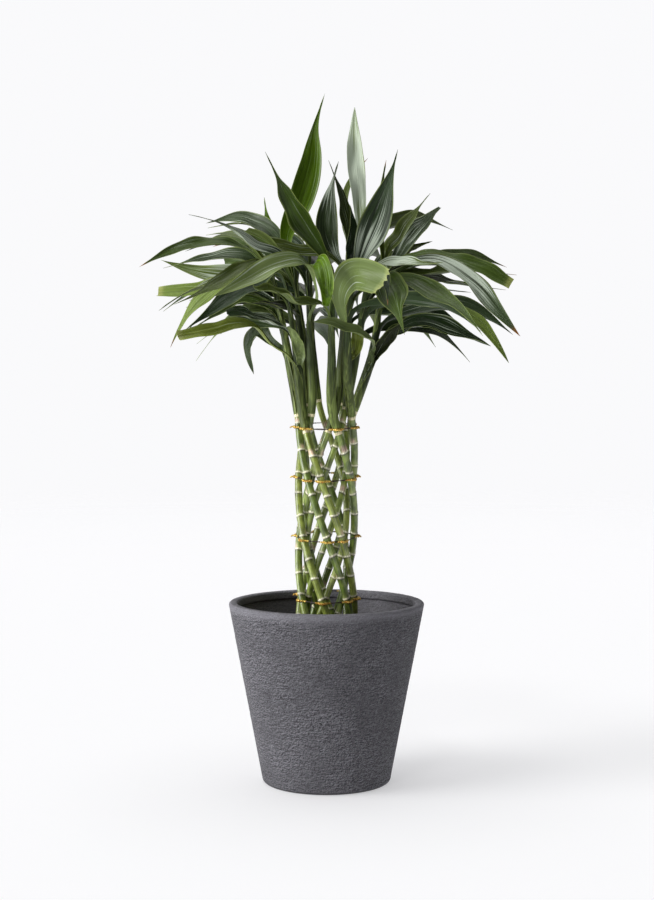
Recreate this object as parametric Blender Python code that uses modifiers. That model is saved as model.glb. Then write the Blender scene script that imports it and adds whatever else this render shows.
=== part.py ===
"""Potted dracaena: thirteen canes twisted into a lattice tower, with leafy tops, in a tapered pot.

Metres, +Z up. The origin is the middle of the pot's underside, and the front faces -Y.
A bearing is a direction round the pot's axis, in degrees: 0 is the front and 90 the right.
"""

import math
import random
from dataclasses import dataclass, replace

import bmesh
import bpy
from mathutils import Matrix, Vector
from mathutils.bvhtree import BVHTree

CM = 0.01
MM = 0.001
UP = Vector((0, 0, 1))
GAP = 0.35 * MM
SAME_PLACE = 0.01 * MM
SEED = 7

# Pot
POT_HEIGHT = 24.5 * CM
RIM_RADIUS = 13.3 * CM
FOOT_RADIUS = 8.65 * CM
RIM_WIDTH = 12.5 * MM
RIM_ROUNDING = 3.5 * MM
LIP_DEPTH = 9.0 * MM
LIP_STEP = 3.5 * MM
WALL = 8.5 * MM
FLOOR = 12.0 * MM
FOOT_ROUNDING = 6.0 * MM
TURNING_STEPS = 40

# Soil
SOIL_TOP = 20.6 * CM
SOIL_DOME = 4.0 * MM
SHOULDER_REACH = 0.6
SHOULDER_RISE = 0.8
SOIL_BEND = 3.5 * MM
SOIL_CLEARANCE = 0.5 * MM
HOLE_CLEARANCE = 1.0 * MM

# Canes: an outer ring that leans one way and an inner ring that leans the other
CANE_BOTTOM = 15.5 * CM
CANE_MIDDLE = 18.5 * CM
REFERENCE_HEIGHT = 48.0 * CM
OUTER_RING = 37.8 * MM
INNER_RING = 27.3 * MM
OUTER_CANE = 4.9 * MM
INNER_CANE = 4.2 * MM
OUTER_TURN = -541.0
INNER_TURN = 800.0
SPREAD_START = 48.5 * CM
SPREAD_MIDDLE = 58.0 * CM
RIDGE = 0.45 * MM
RIDGE_HALF = 1.2 * MM
RING_SPACING = (2.5 * CM, 3.1 * CM)
OUTER_SIDES = 8
INNER_SIDES = 6
STEM_SIDES = 6
TIE_SIDES = 4

# Wire ties
TIE_HEIGHTS = (25.1 * CM, 33.3 * CM, 41.4 * CM, 48.3 * CM)
TIE_SLOPE = 0.09
WIRE = 0.9 * MM
TIE_CLEARANCE = 1.2 * MM
TIE_ANGLES = (-75, -25, 25, 75)
TIE_ROUNDS = 3
RING_TIE_DISTANCE = 4.5 * MM

# Leafy tops
JOINT_GAP = 0.5 * MM
JOINT_LENGTH = 3.0 * MM
SHEATH = 0.9 * MM
STEM_SHARES = (0.15, 0.3, 0.45, 0.6, 0.8, 1.0)
STEM_SWELL = (0, 0, 0.5, 1, 1, 1, 0.5, 0)
BLADE_THICKNESS = 0.8 * MM
SOLVE_THICKNESS = 2.2 * MM
STALK_WIDTH = 8.0 * MM
STALK_END = 0.3
NECK = 0.08
BLADE_POWER = 1.55
BLADE_FOLD = 0.2
STALK_FOLD = 0.5
FOLD_END = 0.4
SPINE_STEPS = 24
CURVE_STEPS = 10
FEWEST_ROWS = 4
ROOT_SHARE = 0.17
SWING_STEP = 2.5
SWING_RINGS = 9

# The rule for the leaves that don't show from the front, in centimetres and degrees
CROWN_TIP = 1.0
CROWN_DEPTH = 9.0
GOLDEN = 0.618
LOWEST_SLOPE = -4
SIDE_SLOPE = 10
BACK_SLOPE = 38
LENGTHS = (16.5, 20.5)
WIDTHS = (2.7, 3.6)
ARCHES = (0.16, 0.24)
ARCH_SHARES = (0.3, 0.65, 1.0)
BANKS = (15, 50)


@dataclass
class Cane:
    """One stalk, in centimetres: its ring, its bearing at the reference height, the height where
    its leafy top begins, where that stands at the spread's middle, and where it ends."""

    name: str
    outer: bool
    bearing: float
    joint: float
    middle: tuple
    top: tuple


CANES = (
    Cane("01", True, -47, 47.4, (-4.0, -2.6), (-5.4, -3.9, 67.5)),
    Cane("02", True, -78, 49.5, (-5.2, 0.3), (-7.3, 0.7, 69.0)),
    Cane("03", True, -133, 50.5, (-3.0, 4.6), (-4.3, 6.2, 68.5)),
    Cane("04", True, 22, 47.3, (0.7, -5.0), (0.8, -7.0, 68.0)),
    Cane("05", True, 70, 49.3, (2.7, -4.2), (3.4, -5.8, 68.0)),
    Cane("06", True, 122, 50.0, (6.2, 1.4), (7.6, 1.8, 69.0)),
    Cane("07", True, 176, 51.0, (3.5, 4.6), (6.5, 6.0, 68.5)),
    Cane("08", False, 8, 47.5, (2.0, -2.2), (2.5, -3.6, 69.5)),
    Cane("09", False, 44, 50.5, (4.0, -1.0), (5.7, -2.4, 70.0)),
    Cane("10", False, 119, 51.0, (2.7, 2.4), (2.8, 4.0, 70.5)),
    Cane("11", False, 180, 51.5, (-1.9, 3.0), (-2.3, 4.4, 70.5)),
    Cane("12", False, 234, 51.0, (-3.3, 0.9), (-4.4, 1.6, 70.0)),
    Cane("13", False, 301, 49.7, (-2.1, -2.6), (-2.6, -4.4, 69.0)),
)


@dataclass
class Leaf:
    """One blade, in centimetres: the cane and the height that it leaves, points along its middle
    line up to its tip, its width, and the (bearing, lift) that its upper side faces halfway."""

    cane: str
    root: float
    path: tuple
    width: float
    faces: tuple
    widest: float = 0.45
    trim: float = 1.0
    twist: float = 0.0


# The leaves that show from the front, each placed by hand
FRONT_LEAVES = (
    Leaf("12", 68.5, ((-5.5, 1.5, 74), (-3.6, 2.3, 78.8), (-2.2, 3, 83.8),
         (-1.5, 3.6, 89.1), (-0.2, 4, 93.6)), 3.8, (15, 10), widest=0.43),
    Leaf("04", 68, ((-0.1, -8, 70.5), (-3, -9, 74.9),
         (-5.8, -10.5, 79.7), (-7.8, -12, 83.5)), 3.3, (-36, 15), widest=0.42),
    Leaf("09", 68.5, ((4.6, -1, 73.9), (4.4, 0, 78.3),
         (3.9, 1.2, 84.2), (3.8, 2, 91.4)), 2.4, (10, 0), widest=0.6),
    Leaf("08", 68.5, ((0.9, -4, 71.4), (0.1, -4.3, 74),
         (0.3, -4, 77.9), (1.6, -3, 83.5)), 3.1, (0, 15), widest=0.38),
    Leaf("10", 69, ((2.9, 3, 72.9), (2.4, 2.5, 77.3), (1.4, 2, 81.2), (0.3, 1.5, 84.2)), 2.4, (50, 10)),
    Leaf("10", 68, ((3.2, 5, 74.4), (2.7, 5.6, 80), (3.5, 5.9, 82.3), (5.7, 6.2, 85.1)), 2, (-60, 0)),
    Leaf("05", 67, ((4.9, -5.8, 71.3), (6.6, -6.5, 75.2),
         (8, -7.5, 79.8), (9.2, -8.5, 84.3)), 4.4, (-10, 15), widest=0.4),
    Leaf("08", 67, ((3.4, -2, 71.9), (3.7, -1.5, 74.6), (3.3, -1, 77.9)), 2.2, (30, 0)),
    Leaf("03", 68, ((-7, 7.5, 72.6), (-8, 8, 75.7), (-8.7, 8.5, 80)), 2.2, (0, 0)),
    Leaf("06", 68.5, ((8.5, 1.5, 71.9), (10.2, 1.5, 74.3),
         (11.8, 2, 76.9), (14.1, 2.5, 79.9)), 3.4, (-47, 36), widest=0.42),
    Leaf("07", 68, ((9.9, 6, 71.6), (11.4, 7, 74.2),
         (13.6, 8.5, 76.4), (15.9, 9, 78.6)), 3.3, (-20, 20), widest=0.55, trim=0.93),
    Leaf("07", 67, ((9.6, 7, 71.2), (11.7, 9, 72.8), (15, 11, 74.1)), 2.4, (0, 65)),
    Leaf("06", 68, ((7.1, 1, 75.4), (7.4, 1.5, 80.2), (8.1, 2, 84.3)), 2.2, (60, 0)),
    Leaf("13", 66.5, ((-5.4, -4, 70.5), (-9.2, -6, 72.1),
         (-13, -8, 74.5), (-17.7, -10, 75.8)), 2.6, (42, 48)),
    Leaf("08", 67.5, ((0.5, -5.5, 70.7), (-3.5, -7, 71.3),
         (-7, -9, 72.2), (-10.3, -11, 73.7)), 2.5, (20, 40), trim=0.75),
    Leaf("02", 67.5, ((-8.7, 0, 70.1), (-10.8, -0.5, 72), (-16.2, -1.5, 72.8),
         (-21.5, -2.5, 71.4), (-24.9, -3, 69.5)), 2.8, (0, 60), twist=-60),
    Leaf("02", 66.5, ((-8.8, 3, 69.9), (-11.4, 4, 71.5),
         (-16.3, 5, 71.2), (-22.6, 6.2, 70)), 2.7, (0, 50), twist=25),
    Leaf("03", 67, ((-9.1, 10, 71.1), (-11.5, 11.5, 71.8), (-14.6, 13, 71.6)), 3.4, (0, 20), trim=0.8),
    Leaf("03", 66, ((-9, 7.5, 70.1), (-12.8, 8.5, 69.2),
         (-17, 9.2, 69.5), (-23.3, 10, 71.4)), 3.3, (10, 32), widest=0.5),
    Leaf("02", 65, ((-8.8, 2, 69.2), (-12.9, 3, 68.3),
         (-17.3, 4, 66.9), (-23.2, 5, 66.5)), 3, (0, 55), trim=0.72),
    Leaf("02", 66, ((-8.6, -1, 70.1), (-10.7, -3, 69.3),
         (-14.8, -6.5, 66.7), (-19.6, -10, 64.3)), 2.9, (0, 50)),
    Leaf("13", 62, ((-1.4, -7, 66.3), (-3, -8.5, 69.7), (-6, -11, 69.5),
         (-9.9, -14, 67.3), (-14.2, -17, 64.9)), 3.2, (10, 50), widest=0.55),
    Leaf("01", 65.5, ((-6.6, -5, 68.6), (-9.2, -8, 67.1),
         (-13.1, -12, 64.5), (-17.8, -15.5, 60.8)), 3.3, (0, 50)),
    Leaf("02", 64, ((-9.6, 0, 69.1), (-13.7, 1, 67.6),
         (-18, 2, 64.4), (-21.4, 3.5, 59)), 2.6, (0, 42), widest=0.55),
    Leaf("01", 56, ((-7.5, -2.8, 59.3), (-10.1, -5, 61.8),
         (-14.5, -8, 60.9), (-19.1, -10.5, 60.1)), 2.6, (0, 52), trim=0.72),
    Leaf("03", 60, ((-10.3, 6, 64.5), (-12.6, 7, 63.4),
         (-15.7, 8, 60.5), (-18.3, 8.5, 57.2)), 2.3, (0, 45)),
    Leaf("02", 62, ((-11.1, 2, 65.4), (-15.2, 3, 63.4), (-18.2, 4, 61.7)), 2.4, (0, 55)),
    Leaf("01", 58.5, ((-5.5, -5.5, 61.4), (-8.3, -9, 62.3),
         (-10.6, -12, 63.1), (-12.5, -15, 62.9)), 2.7, (0, 48), trim=0.8),
    Leaf("02", 57.5, ((-7.7, 2, 60), (-9, 3.5, 61.4), (-10.3, 5, 60.3),
         (-10.7, 5.8, 58.3), (-10.1, 6.5, 55.3)), 2.8, (-20, 30), widest=0.55),
    Leaf("04", 61, ((-0.6, -8, 64.3), (-3.7, -11, 64.5),
         (-6.5, -14, 65.7), (-8.6, -17, 65.8)), 2.7, (0, 48), trim=0.72),
    Leaf("12", 63, ((-4.9, -2, 64), (-6.8, -3.5, 64.6), (-8.8, -5, 64.7)), 2.2, (0, 60), trim=0.9),
    Leaf("04", 64.5, ((-1.5, -8.3, 69.6), (-0.8, -10.5, 69.7),
         (-0.1, -13, 66.6), (-0.2, -14.5, 63.9)), 2.6, (0, 15), trim=0.85, widest=0.5),
    Leaf("05", 60, ((2.3, -7.5, 62.6), (1.9, -9.5, 65.8),
         (3.1, -11.5, 67.8), (7.1, -15.5, 66.7)), 4.4, (0, 30), trim=0.62),
    Leaf("09", 66, ((6.7, -6, 68.3), (7.8, -10, 67),
         (8.8, -14, 64), (9.7, -17, 60.2)), 4.6, (10, 10), widest=0.5),
    Leaf("05", 66, ((5.9, -8, 68.6), (7.3, -12.5, 67.6), (7.8, -17, 63.4)), 2, (0, 10)),
    Leaf("06", 57, ((5.8, -4, 59.8), (3.3, -8, 61),
         (0.7, -10.5, 61.9), (-1.7, -12, 62)), 2.2, (0, 35), widest=0.6),
    Leaf("01", 55, ((-3.5, -5, 58.2), (-4.1, -6, 60.2), (-4.9, -7, 61.5)), 1.6, (0, 10), trim=0.8),
    Leaf("08", 56, ((3.8, -4.5, 57.8), (4.3, -5.5, 60.8)), 1.8, (0, 0), trim=0.7),
    Leaf("06", 56, ((7.5, 0, 58.6), (8.8, -1, 60.6), (10.5, -2, 62.8)), 2.4, (-30, 20)),
    Leaf("05", 66, ((6.8, -5, 69.4), (9.3, -8, 69.6),
         (11.9, -11.5, 69.2), (14.4, -14, 69.2)), 2.9, (0, 50)),
    Leaf("06", 67.5, ((9.2, 0, 70.1), (12.3, -0.5, 71.2), (17.2, -1, 70.7),
         (21.2, -1, 69.3), (24.7, -1, 67.3)), 3, (0, 52), trim=0.72),
    Leaf("06", 65.5, ((10, 2.5, 68.8), (14.1, 2.5, 69.1), (18.4, 2.5, 69.6),
         (22.3, 3, 68.6), (24.9, 3, 67.2)), 2.5, (0, 58), trim=0.75),
    Leaf("09", 67.5, ((9.7, -4, 69.9), (14.1, -6, 70.2), (18.1, -8, 68),
         (21.6, -10, 64), (24.8, -11.5, 60.1)), 2.9, (0, 50), widest=0.55),
    Leaf("05", 64, ((9.6, -6, 67.6), (13.3, -9.5, 65.9),
         (16.7, -13, 63.7), (19.6, -16, 60.1)), 3.4, (0, 46)),
    Leaf("06", 64, ((10.6, 0, 68.1), (15.2, -1, 65.4),
         (20.4, -2, 62.1), (24.3, -3, 56.8)), 2.6, (0, 55), widest=0.6),
    Leaf("06", 58.5, ((9.2, 0, 61.1), (12.6, -0.4, 62.4),
         (16.6, -1, 61.2), (22, -1.5, 59.1)), 3.5, (0, 42), widest=0.6),
    Leaf("06", 57.5, ((10, 1, 61.3), (13, 2, 62), (15.9, 3, 60.9)), 2.2, (0, 60)),
    Leaf("09", 64, ((7.8, -2, 67.2), (10.8, -4, 66.2), (14.5, -6, 65.2)), 2.8, (0, 45)),
    Leaf("07", 66, ((10.2, 6, 69.4), (14.4, 8, 68.9), (19.6, 10, 68)), 3, (0, 48), trim=0.85),
    Leaf("07", 64.5, ((10.2, 7, 68), (15.2, 9, 67.3), (20.4, 11, 66.9)), 2.2, (0, 62)),
    Leaf("07", 67, ((10.1, 4.5, 69.6), (17, 5, 70.5), (22.5, 5.2, 69.4), (26.2, 5.2, 69)), 1.8, (0, 66)),
    Leaf("07", 65, ((10, 9, 69.6), (17, 13, 68.5), (25.9, 16, 67.5)), 2.2, (0, 64)),
    Leaf("07", 62, ((8.1, 7, 65.6), (12, 10, 64.5), (15.3, 13, 63.5)), 2, (0, 70)),
)

# How many more leaves each cane carries, and the bearings that they spread between
MORE_LEAVES = {
    "01": (2, -130, -80),
    "02": (3, -160, -95),
    "03": (7, -205, -100),
    "05": (1, 70, 100),
    "06": (3, 85, 150),
    "07": (6, 100, 190),
    "08": (1, 60, 100),
    "09": (2, 80, 140),
    "10": (6, 110, 200),
    "11": (8, 150, 260),
    "12": (5, 190, 275),
    "13": (1, -120, -90),
}


def smooth(value):
    """0 below 0, 1 above 1, and an even ramp between."""
    value = min(1.0, max(0.0, value))
    return value * value * (3 - 2 * value)


def at_bearing(bearing, radius, height):
    turn = math.radians(bearing)
    return Vector((radius * math.sin(turn), -radius * math.cos(turn), height))


def hermite(start, end, start_slope, end_slope, share):
    """A point on the cubic between two points whose slopes are given for the whole stretch."""
    square, cube = share * share, share**3
    ends = start * (2 * cube - 3 * square + 1) + end * (3 * square - 2 * cube)
    return ends + start_slope * (cube - 2 * square + share) + end_slope * (cube - square)


def helix_point(cane, height):
    turn = OUTER_TURN if cane.outer else INNER_TURN
    ring = OUTER_RING if cane.outer else INNER_RING
    return at_bearing(cane.bearing + turn * (height - REFERENCE_HEIGHT), ring, height)


def cane_point(cane, height):
    """The middle of a cane at a height: a helix up to the top tie, then a stem that spreads."""
    if height <= SPREAD_START:
        return helix_point(cane, height)
    start = helix_point(cane, SPREAD_START)
    middle = Vector((*cane.middle, SPREAD_MIDDLE / CM)) * CM
    top = Vector(cane.top) * CM
    start_slope = (start - helix_point(cane, SPREAD_START - MM)) / MM
    low, high = (middle - start) / (middle.z - start.z), (top - middle) / (top.z - middle.z)
    low_span, high_span = middle.z - start.z, top.z - middle.z
    middle_slope = (low * high_span + high * low_span) / (low_span + high_span)
    if height < middle.z:
        share = (height - start.z) / low_span
        return hermite(start, middle, start_slope * low_span, middle_slope * low_span, share)
    share = (height - middle.z) / high_span
    return hermite(middle, top, middle_slope * high_span, high * high_span, share)


def cane_direction(cane, height):
    return (cane_point(cane, height + MM) - cane_point(cane, height - MM)).normalized()


def cane_radius(cane):
    return OUTER_CANE if cane.outer else INNER_CANE


def tie_height(middle, point):
    """A tie dips towards the front, so its height depends on the place round the tower."""
    return middle + TIE_SLOPE * point.y


def near_tie(cane, height):
    point = cane_point(cane, height)
    return any(abs(height - tie_height(tie, point)) < RING_TIE_DISTANCE for tie in TIE_HEIGHTS)


def ring_heights(cane, draw):
    """Heights of the raised rings, clear of the wire ties and of the cane's two ends."""
    height = SOIL_TOP + SOIL_DOME + draw.uniform(0.4, 1.0) * RING_SPACING[0]
    found = []
    while height < cane.joint * CM - RING_SPACING[0] / 3:
        while near_tie(cane, height):
            height += RIDGE_HALF
        found.append(height)
        height += draw.uniform(*RING_SPACING)
    return found


def new_material(name, colour, roughness, metallic=0.0):
    material = bpy.data.materials.new(name)
    material.use_nodes = True
    shader = material.node_tree.nodes["Principled BSDF"]
    shader.inputs["Base Color"].default_value = (*colour, 1)
    shader.inputs["Roughness"].default_value = roughness
    shader.inputs["Metallic"].default_value = metallic
    return material


def new_collection(name):
    found = bpy.data.collections.new(name)
    bpy.context.scene.collection.children.link(found)
    return found


def mesh_object(name, mesh, collection, material=None):
    piece = bpy.data.objects.new(name, mesh)
    collection.objects.link(piece)
    if material:
        mesh.materials.append(material)
    return piece


def tube(name, points, radii, collection, material=None, sides=8, closed=False):
    """A tube along points, as a curve with a bevel, whose radius is given at each point."""
    curve = bpy.data.curves.new(name, "CURVE")
    curve.dimensions = "3D"
    curve.bevel_depth = 1.0
    curve.bevel_resolution = (sides - 4) // 2
    curve.use_fill_caps = not closed
    spline = curve.splines.new("POLY")
    spline.points.add(len(points) - 1)
    spline.use_cyclic_u = closed
    for bead, point, radius in zip(spline.points, points, radii):
        bead.co = (*point, 1)
        bead.radius = radius
    piece = bpy.data.objects.new(name, curve)
    collection.objects.link(piece)
    if material:
        curve.materials.append(material)
    return piece


def as_mesh(piece, merge=True):
    """The piece's evaluated mesh in a new object that takes its place, with its doubles merged."""
    name, collection = piece.name, piece.users_collection[0]
    bpy.context.view_layer.update()
    graph = bpy.context.evaluated_depsgraph_get()
    mesh = bpy.data.meshes.new_from_object(piece.evaluated_get(graph))
    mesh.transform(piece.matrix_world)
    bpy.data.objects.remove(piece)
    if merge:
        shape = bmesh.new()
        shape.from_mesh(mesh)
        bmesh.ops.remove_doubles(shape, verts=shape.verts, dist=SAME_PLACE / 10)
        shape.to_mesh(mesh)
        shape.free()
    mesh.materials.clear()
    return mesh_object(name, mesh, collection)


def boolean(piece, operation, others, solver="EXACT"):
    """Cuts or joins a collection of objects in one step, and removes them."""
    modifier = piece.modifiers.new("join", "BOOLEAN")
    modifier.operation = operation
    modifier.operand_type = "COLLECTION"
    modifier.collection = others
    modifier.solver = solver
    made = as_mesh(piece, solver == "EXACT")
    for other in list(others.objects):
        bpy.data.objects.remove(other)
    bpy.data.collections.remove(others)
    return made


def keep_largest_part(piece):
    """Drops loose scraps and fills sealed hollows, which are parts of their own."""
    shape = bmesh.new()
    shape.from_mesh(piece.data)
    left, parts = set(shape.faces), []
    while left:
        stack = [left.pop()]
        part = []
        while stack:
            face = stack.pop()
            part.append(face)
            near = {other for edge in face.edges for other in edge.link_faces} & left
            left -= near
            stack += near
        parts.append(part)
    parts.sort(key=len)
    loose = [face for part in parts[:-1] for face in part]
    bmesh.ops.delete(shape, geom=loose, context="FACES")
    shape.to_mesh(piece.data)
    shape.free()


def turned(name, profile, collection, material=None):
    """A profile of (radius, height) points, from the axis round to the axis, turned by a Screw."""
    mesh = bpy.data.meshes.new(name)
    shape = bmesh.new()
    corners = [shape.verts.new((radius, 0, height)) for radius, height in profile]
    for first, second in zip(corners, corners[1:]):
        shape.edges.new((first, second))
    shape.to_mesh(mesh)
    shape.free()
    piece = mesh_object(name, mesh, collection, material)
    screw = piece.modifiers.new("turn", "SCREW")
    screw.steps = screw.render_steps = TURNING_STEPS
    screw.use_merge_vertices = True
    screw.merge_threshold = SAME_PLACE
    screw.use_normal_calculate = True
    return piece


def arc(centre, radius, start, end, steps):
    """Points round a centre in a profile, between two angles in degrees."""
    angles = [math.radians(start + (end - start) * step / steps) for step in range(steps + 1)]
    return [(centre[0] + radius * math.cos(a), centre[1] + radius * math.sin(a)) for a in angles]


def outer_wall(height):
    """The pot's outer radius at a height."""
    return FOOT_RADIUS + (RIM_RADIUS - FOOT_RADIUS) * height / POT_HEIGHT


def make_pot(collection, material):
    top = POT_HEIGHT - RIM_ROUNDING
    lip = POT_HEIGHT - LIP_DEPTH
    inner_rim = RIM_RADIUS - RIM_WIDTH
    profile = [(0, FLOOR), (outer_wall(FLOOR) - WALL, FLOOR)]
    profile += [(inner_rim + LIP_STEP, lip - LIP_STEP), (inner_rim, lip)]
    profile += arc((inner_rim + RIM_ROUNDING, top), RIM_ROUNDING, 180, 90, 2)
    profile += arc((outer_wall(top) - RIM_ROUNDING, top), RIM_ROUNDING, 90, 0, 2)
    profile += arc((outer_wall(FOOT_ROUNDING) - FOOT_ROUNDING, FOOT_ROUNDING), FOOT_ROUNDING, 0, -90, 3)
    profile += [(0, 0)]
    return turned("pot", profile, collection, material)


def buried_heights(cane):
    """The heights of a cane's bends from its foot to just above the soil."""
    return [CANE_BOTTOM, CANE_MIDDLE, SOIL_TOP + SOIL_DOME + SOIL_BEND]


def make_soil(collection, material, canes):
    """The soil, domed a little, with a plain hole for each cane."""
    high = outer_wall(SOIL_TOP) - WALL - SOIL_CLEARANCE
    low = outer_wall(FLOOR) - WALL - SOIL_CLEARANCE
    profile = [(0, FLOOR + GAP), (low, FLOOR + GAP), (high, SOIL_TOP)]
    profile += [(high * SHOULDER_REACH, SOIL_TOP + SOIL_DOME * SHOULDER_RISE), (0, SOIL_TOP + SOIL_DOME)]
    soil = as_mesh(turned("soil", profile, collection))
    holes = new_collection("holes")
    for cane in canes:
        points = [cane_point(cane, height) for height in buried_heights(cane)]
        points[0].z -= GAP
        sides = OUTER_SIDES if cane.outer else INNER_SIDES
        radii = [cane_radius(cane) + HOLE_CLEARANCE] * len(points)
        as_mesh(tube("hole_" + cane.name, points, radii, holes, sides=sides))
    made = boolean(soil, "DIFFERENCE", holes)
    made.data.materials.append(material)
    return made


def make_cane(cane, draw, collection, material):
    """The bare stalk with its raised rings, from inside the soil up to where the leafy top begins."""
    radius = cane_radius(cane)
    stops = [(height, radius) for height in buried_heights(cane)]
    for height in ring_heights(cane, draw):
        stops += [(height - RIDGE_HALF, radius), (height, radius + RIDGE)]
    stops += [(cane.joint * CM - JOINT_LENGTH, radius), (cane.joint * CM, radius)]
    points = [cane_point(cane, height) for height, _ in stops]
    radii = [size for _, size in stops]
    sides = OUTER_SIDES if cane.outer else INNER_SIDES
    return tube("cane_" + cane.name, points, radii, collection, material, sides)


def tie_points(canes, middle):
    """A closed wire round the tower that hugs the outer half of each outer cane."""
    route = []
    reach = OUTER_CANE + TIE_CLEARANCE + WIRE
    for cane in sorted((c for c in canes if c.outer), key=lambda c: c.bearing):
        centre = cane_point(cane, middle)
        for _ in range(TIE_ROUNDS):
            centre = cane_point(cane, tie_height(middle, centre))
        outward = Vector((centre.x, centre.y, 0)).normalized()
        along = Vector((-outward.y, outward.x, 0))
        lean = 1 / cane_direction(cane, middle).z
        for angle in TIE_ANGLES:
            turn = math.radians(angle)
            point = centre + outward * reach * math.cos(turn) + along * reach * lean * math.sin(turn)
            point.z = tie_height(middle, point)
            route.append(point)
    return route


def make_tie(number, height, collection, material):
    route = tie_points(CANES, height)
    return tube(f"tie_{number}", route, [WIRE] * len(route), collection, material, TIE_SIDES, True)


def leaf_spine(cane, leaf):
    """Evenly spaced points along a blade's middle, from inside its cane to its tip."""
    knots = [cane_point(cane, leaf.root * CM)] + [Vector(point) * CM for point in leaf.path]
    chords = [(b - a).length for a, b in zip(knots, knots[1:])]
    slopes = [cane_direction(cane, leaf.root * CM)]
    for before, here, after, low, high in zip(knots, knots[1:], knots[2:], chords, chords[1:]):
        slopes.append(((here - before) / low * high + (after - here) / high * low) / (low + high))
    slopes.append((knots[-1] - knots[-2]) / chords[-1] * 1.5 - slopes[-1] * 0.5)
    curve = [knots[0]]
    for start, end, low, high, span in zip(knots, knots[1:], slopes, slopes[1:], chords):
        for step in range(1, CURVE_STEPS + 1):
            curve.append(hermite(start, end, low * span, high * span, step / CURVE_STEPS))
    return evenly(curve, SPINE_STEPS)


def evenly(curve, steps):
    """The same curve as points at even distances along it."""
    lengths = [(b - a).length for a, b in zip(curve, curve[1:])]
    pace = sum(lengths) / steps
    found, wanted, passed = [curve[0]], pace, 0.0
    for start, end, length in zip(curve, curve[1:], lengths):
        while len(found) < steps and passed + length >= wanted:
            found.append(start.lerp(end, (wanted - passed) / length))
            wanted += pace
        passed += length
    return found + [curve[-1]]


def blade_width(leaf, share):
    """The blade's width at a share of its length: a narrow stalk, a broad middle and a long point."""
    share *= leaf.trim
    stalk = STALK_WIDTH * (1 - smooth((share - NECK / 2) / STALK_END))
    body = max(0.0, (share - NECK) / (1 - NECK))
    tip_power = BLADE_POWER * (1 - leaf.widest) / leaf.widest
    lance = (body / leaf.widest) ** BLADE_POWER * (max(0.0, 1 - body) / (1 - leaf.widest)) ** tip_power
    return stalk + leaf.width * CM * lance


def blade_frames(cane, leaf):
    """(point, side, upward) along the blade, turned as little as the spine's bends allow."""
    points = leaf_spine(cane, leaf)
    ends = [points[0], *points, points[-1]]
    tangents = [(b - a).normalized() for a, b in zip(ends, ends[2:])]
    half = SPINE_STEPS // 2
    lift = math.radians(leaf.faces[1])
    upper = at_bearing(leaf.faces[0], math.cos(lift), math.sin(lift))
    sides = {half: tangents[half].cross(upper).normalized()}
    for step in (1, -1):
        here = half
        while 0 <= here + step <= SPINE_STEPS:
            bend = tangents[here].rotation_difference(tangents[here + step]).to_matrix()
            twist = Matrix.Rotation(math.radians(leaf.twist * step / SPINE_STEPS), 3, tangents[here])
            side = bend @ twist @ sides[here]
            here += step
            sides[here] = (side - tangents[here] * side.dot(tangents[here])).normalized()
    return [(points[i], sides[i], sides[i].cross(tangents[i])) for i in range(SPINE_STEPS + 1)]


def blade_shape(cane, leaf, thickness):
    """A closed thin blade as a bmesh: a grid bent along the spine, folded a little and thickened."""
    frames = blade_frames(cane, leaf)
    rows = max(FEWEST_ROWS, len(leaf.path) + 1)
    shape = bmesh.new()
    bmesh.ops.create_grid(shape, x_segments=2, y_segments=rows, size=1)
    for corner in shape.verts:
        station = round(round((corner.co.y + 1) / 2 * rows) * SPINE_STEPS / rows)
        across = corner.co.x
        point, side, upward = frames[station]
        share = station / SPINE_STEPS
        half = blade_width(leaf, share) / 2
        fold = half * abs(across) * (BLADE_FOLD + STALK_FOLD * (1 - smooth(share / FOLD_END)))
        corner.co = point + side * across * half + upward * (fold - thickness / 2)
    bmesh.ops.remove_doubles(shape, verts=shape.verts, dist=SAME_PLACE)
    bmesh.ops.triangulate(shape, faces=shape.faces)
    bmesh.ops.recalc_face_normals(shape, faces=shape.faces)
    bmesh.ops.solidify(shape, geom=shape.faces[:], thickness=thickness)
    bmesh.ops.recalc_face_normals(shape, faces=shape.faces)
    return shape


def faces_of(shape):
    """The corners and the faces of a bmesh as lists."""
    shape.verts.index_update()
    corners = [corner.co.copy() for corner in shape.verts]
    return corners, [[corner.index for corner in face.verts] for face in shape.faces]


def blade_only(corners, faces, root):
    """The faces that lie further from the root than the stretch that may meet its own stem."""
    reach = max((corner - root).length for corner in corners) * ROOT_SHARE + OUTER_CANE
    return [face for face in faces if all((corners[i] - root).length > reach for i in face)]


def stem_stops(cane):
    """(points, radii) up a leafy top's stem, which its leaf sheaths thicken."""
    start, end = cane.joint * CM + JOINT_GAP, cane.top[2] * CM
    heights = [start, start + JOINT_LENGTH]
    heights += [start + (end - start) * share for share in STEM_SHARES]
    radii = [cane_radius(cane) + SHEATH * share for share in STEM_SWELL]
    return [cane_point(cane, height) for height in heights], radii


class Crowd:
    """What has been placed so far, by cane, as loose faces to test against."""

    def __init__(self):
        self.whole = {}
        self.blades = {}

    def add(self, name, corners, faces, blades):
        self.whole.setdefault(name, []).append((corners, faces))
        self.blades.setdefault(name, []).append((corners, blades))

    def tree(self, groups):
        corners, faces = [], []
        for group_corners, group_faces in groups:
            start = len(corners)
            corners += group_corners
            faces += [[i + start for i in face] for face in group_faces]
        return BVHTree.FromPolygons(corners, faces) if faces else None

    def tests(self, name):
        others = [group for other, groups in self.whole.items() if other != name for group in groups]
        return self.tree(others), self.tree(self.blades.get(name, []))


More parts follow.
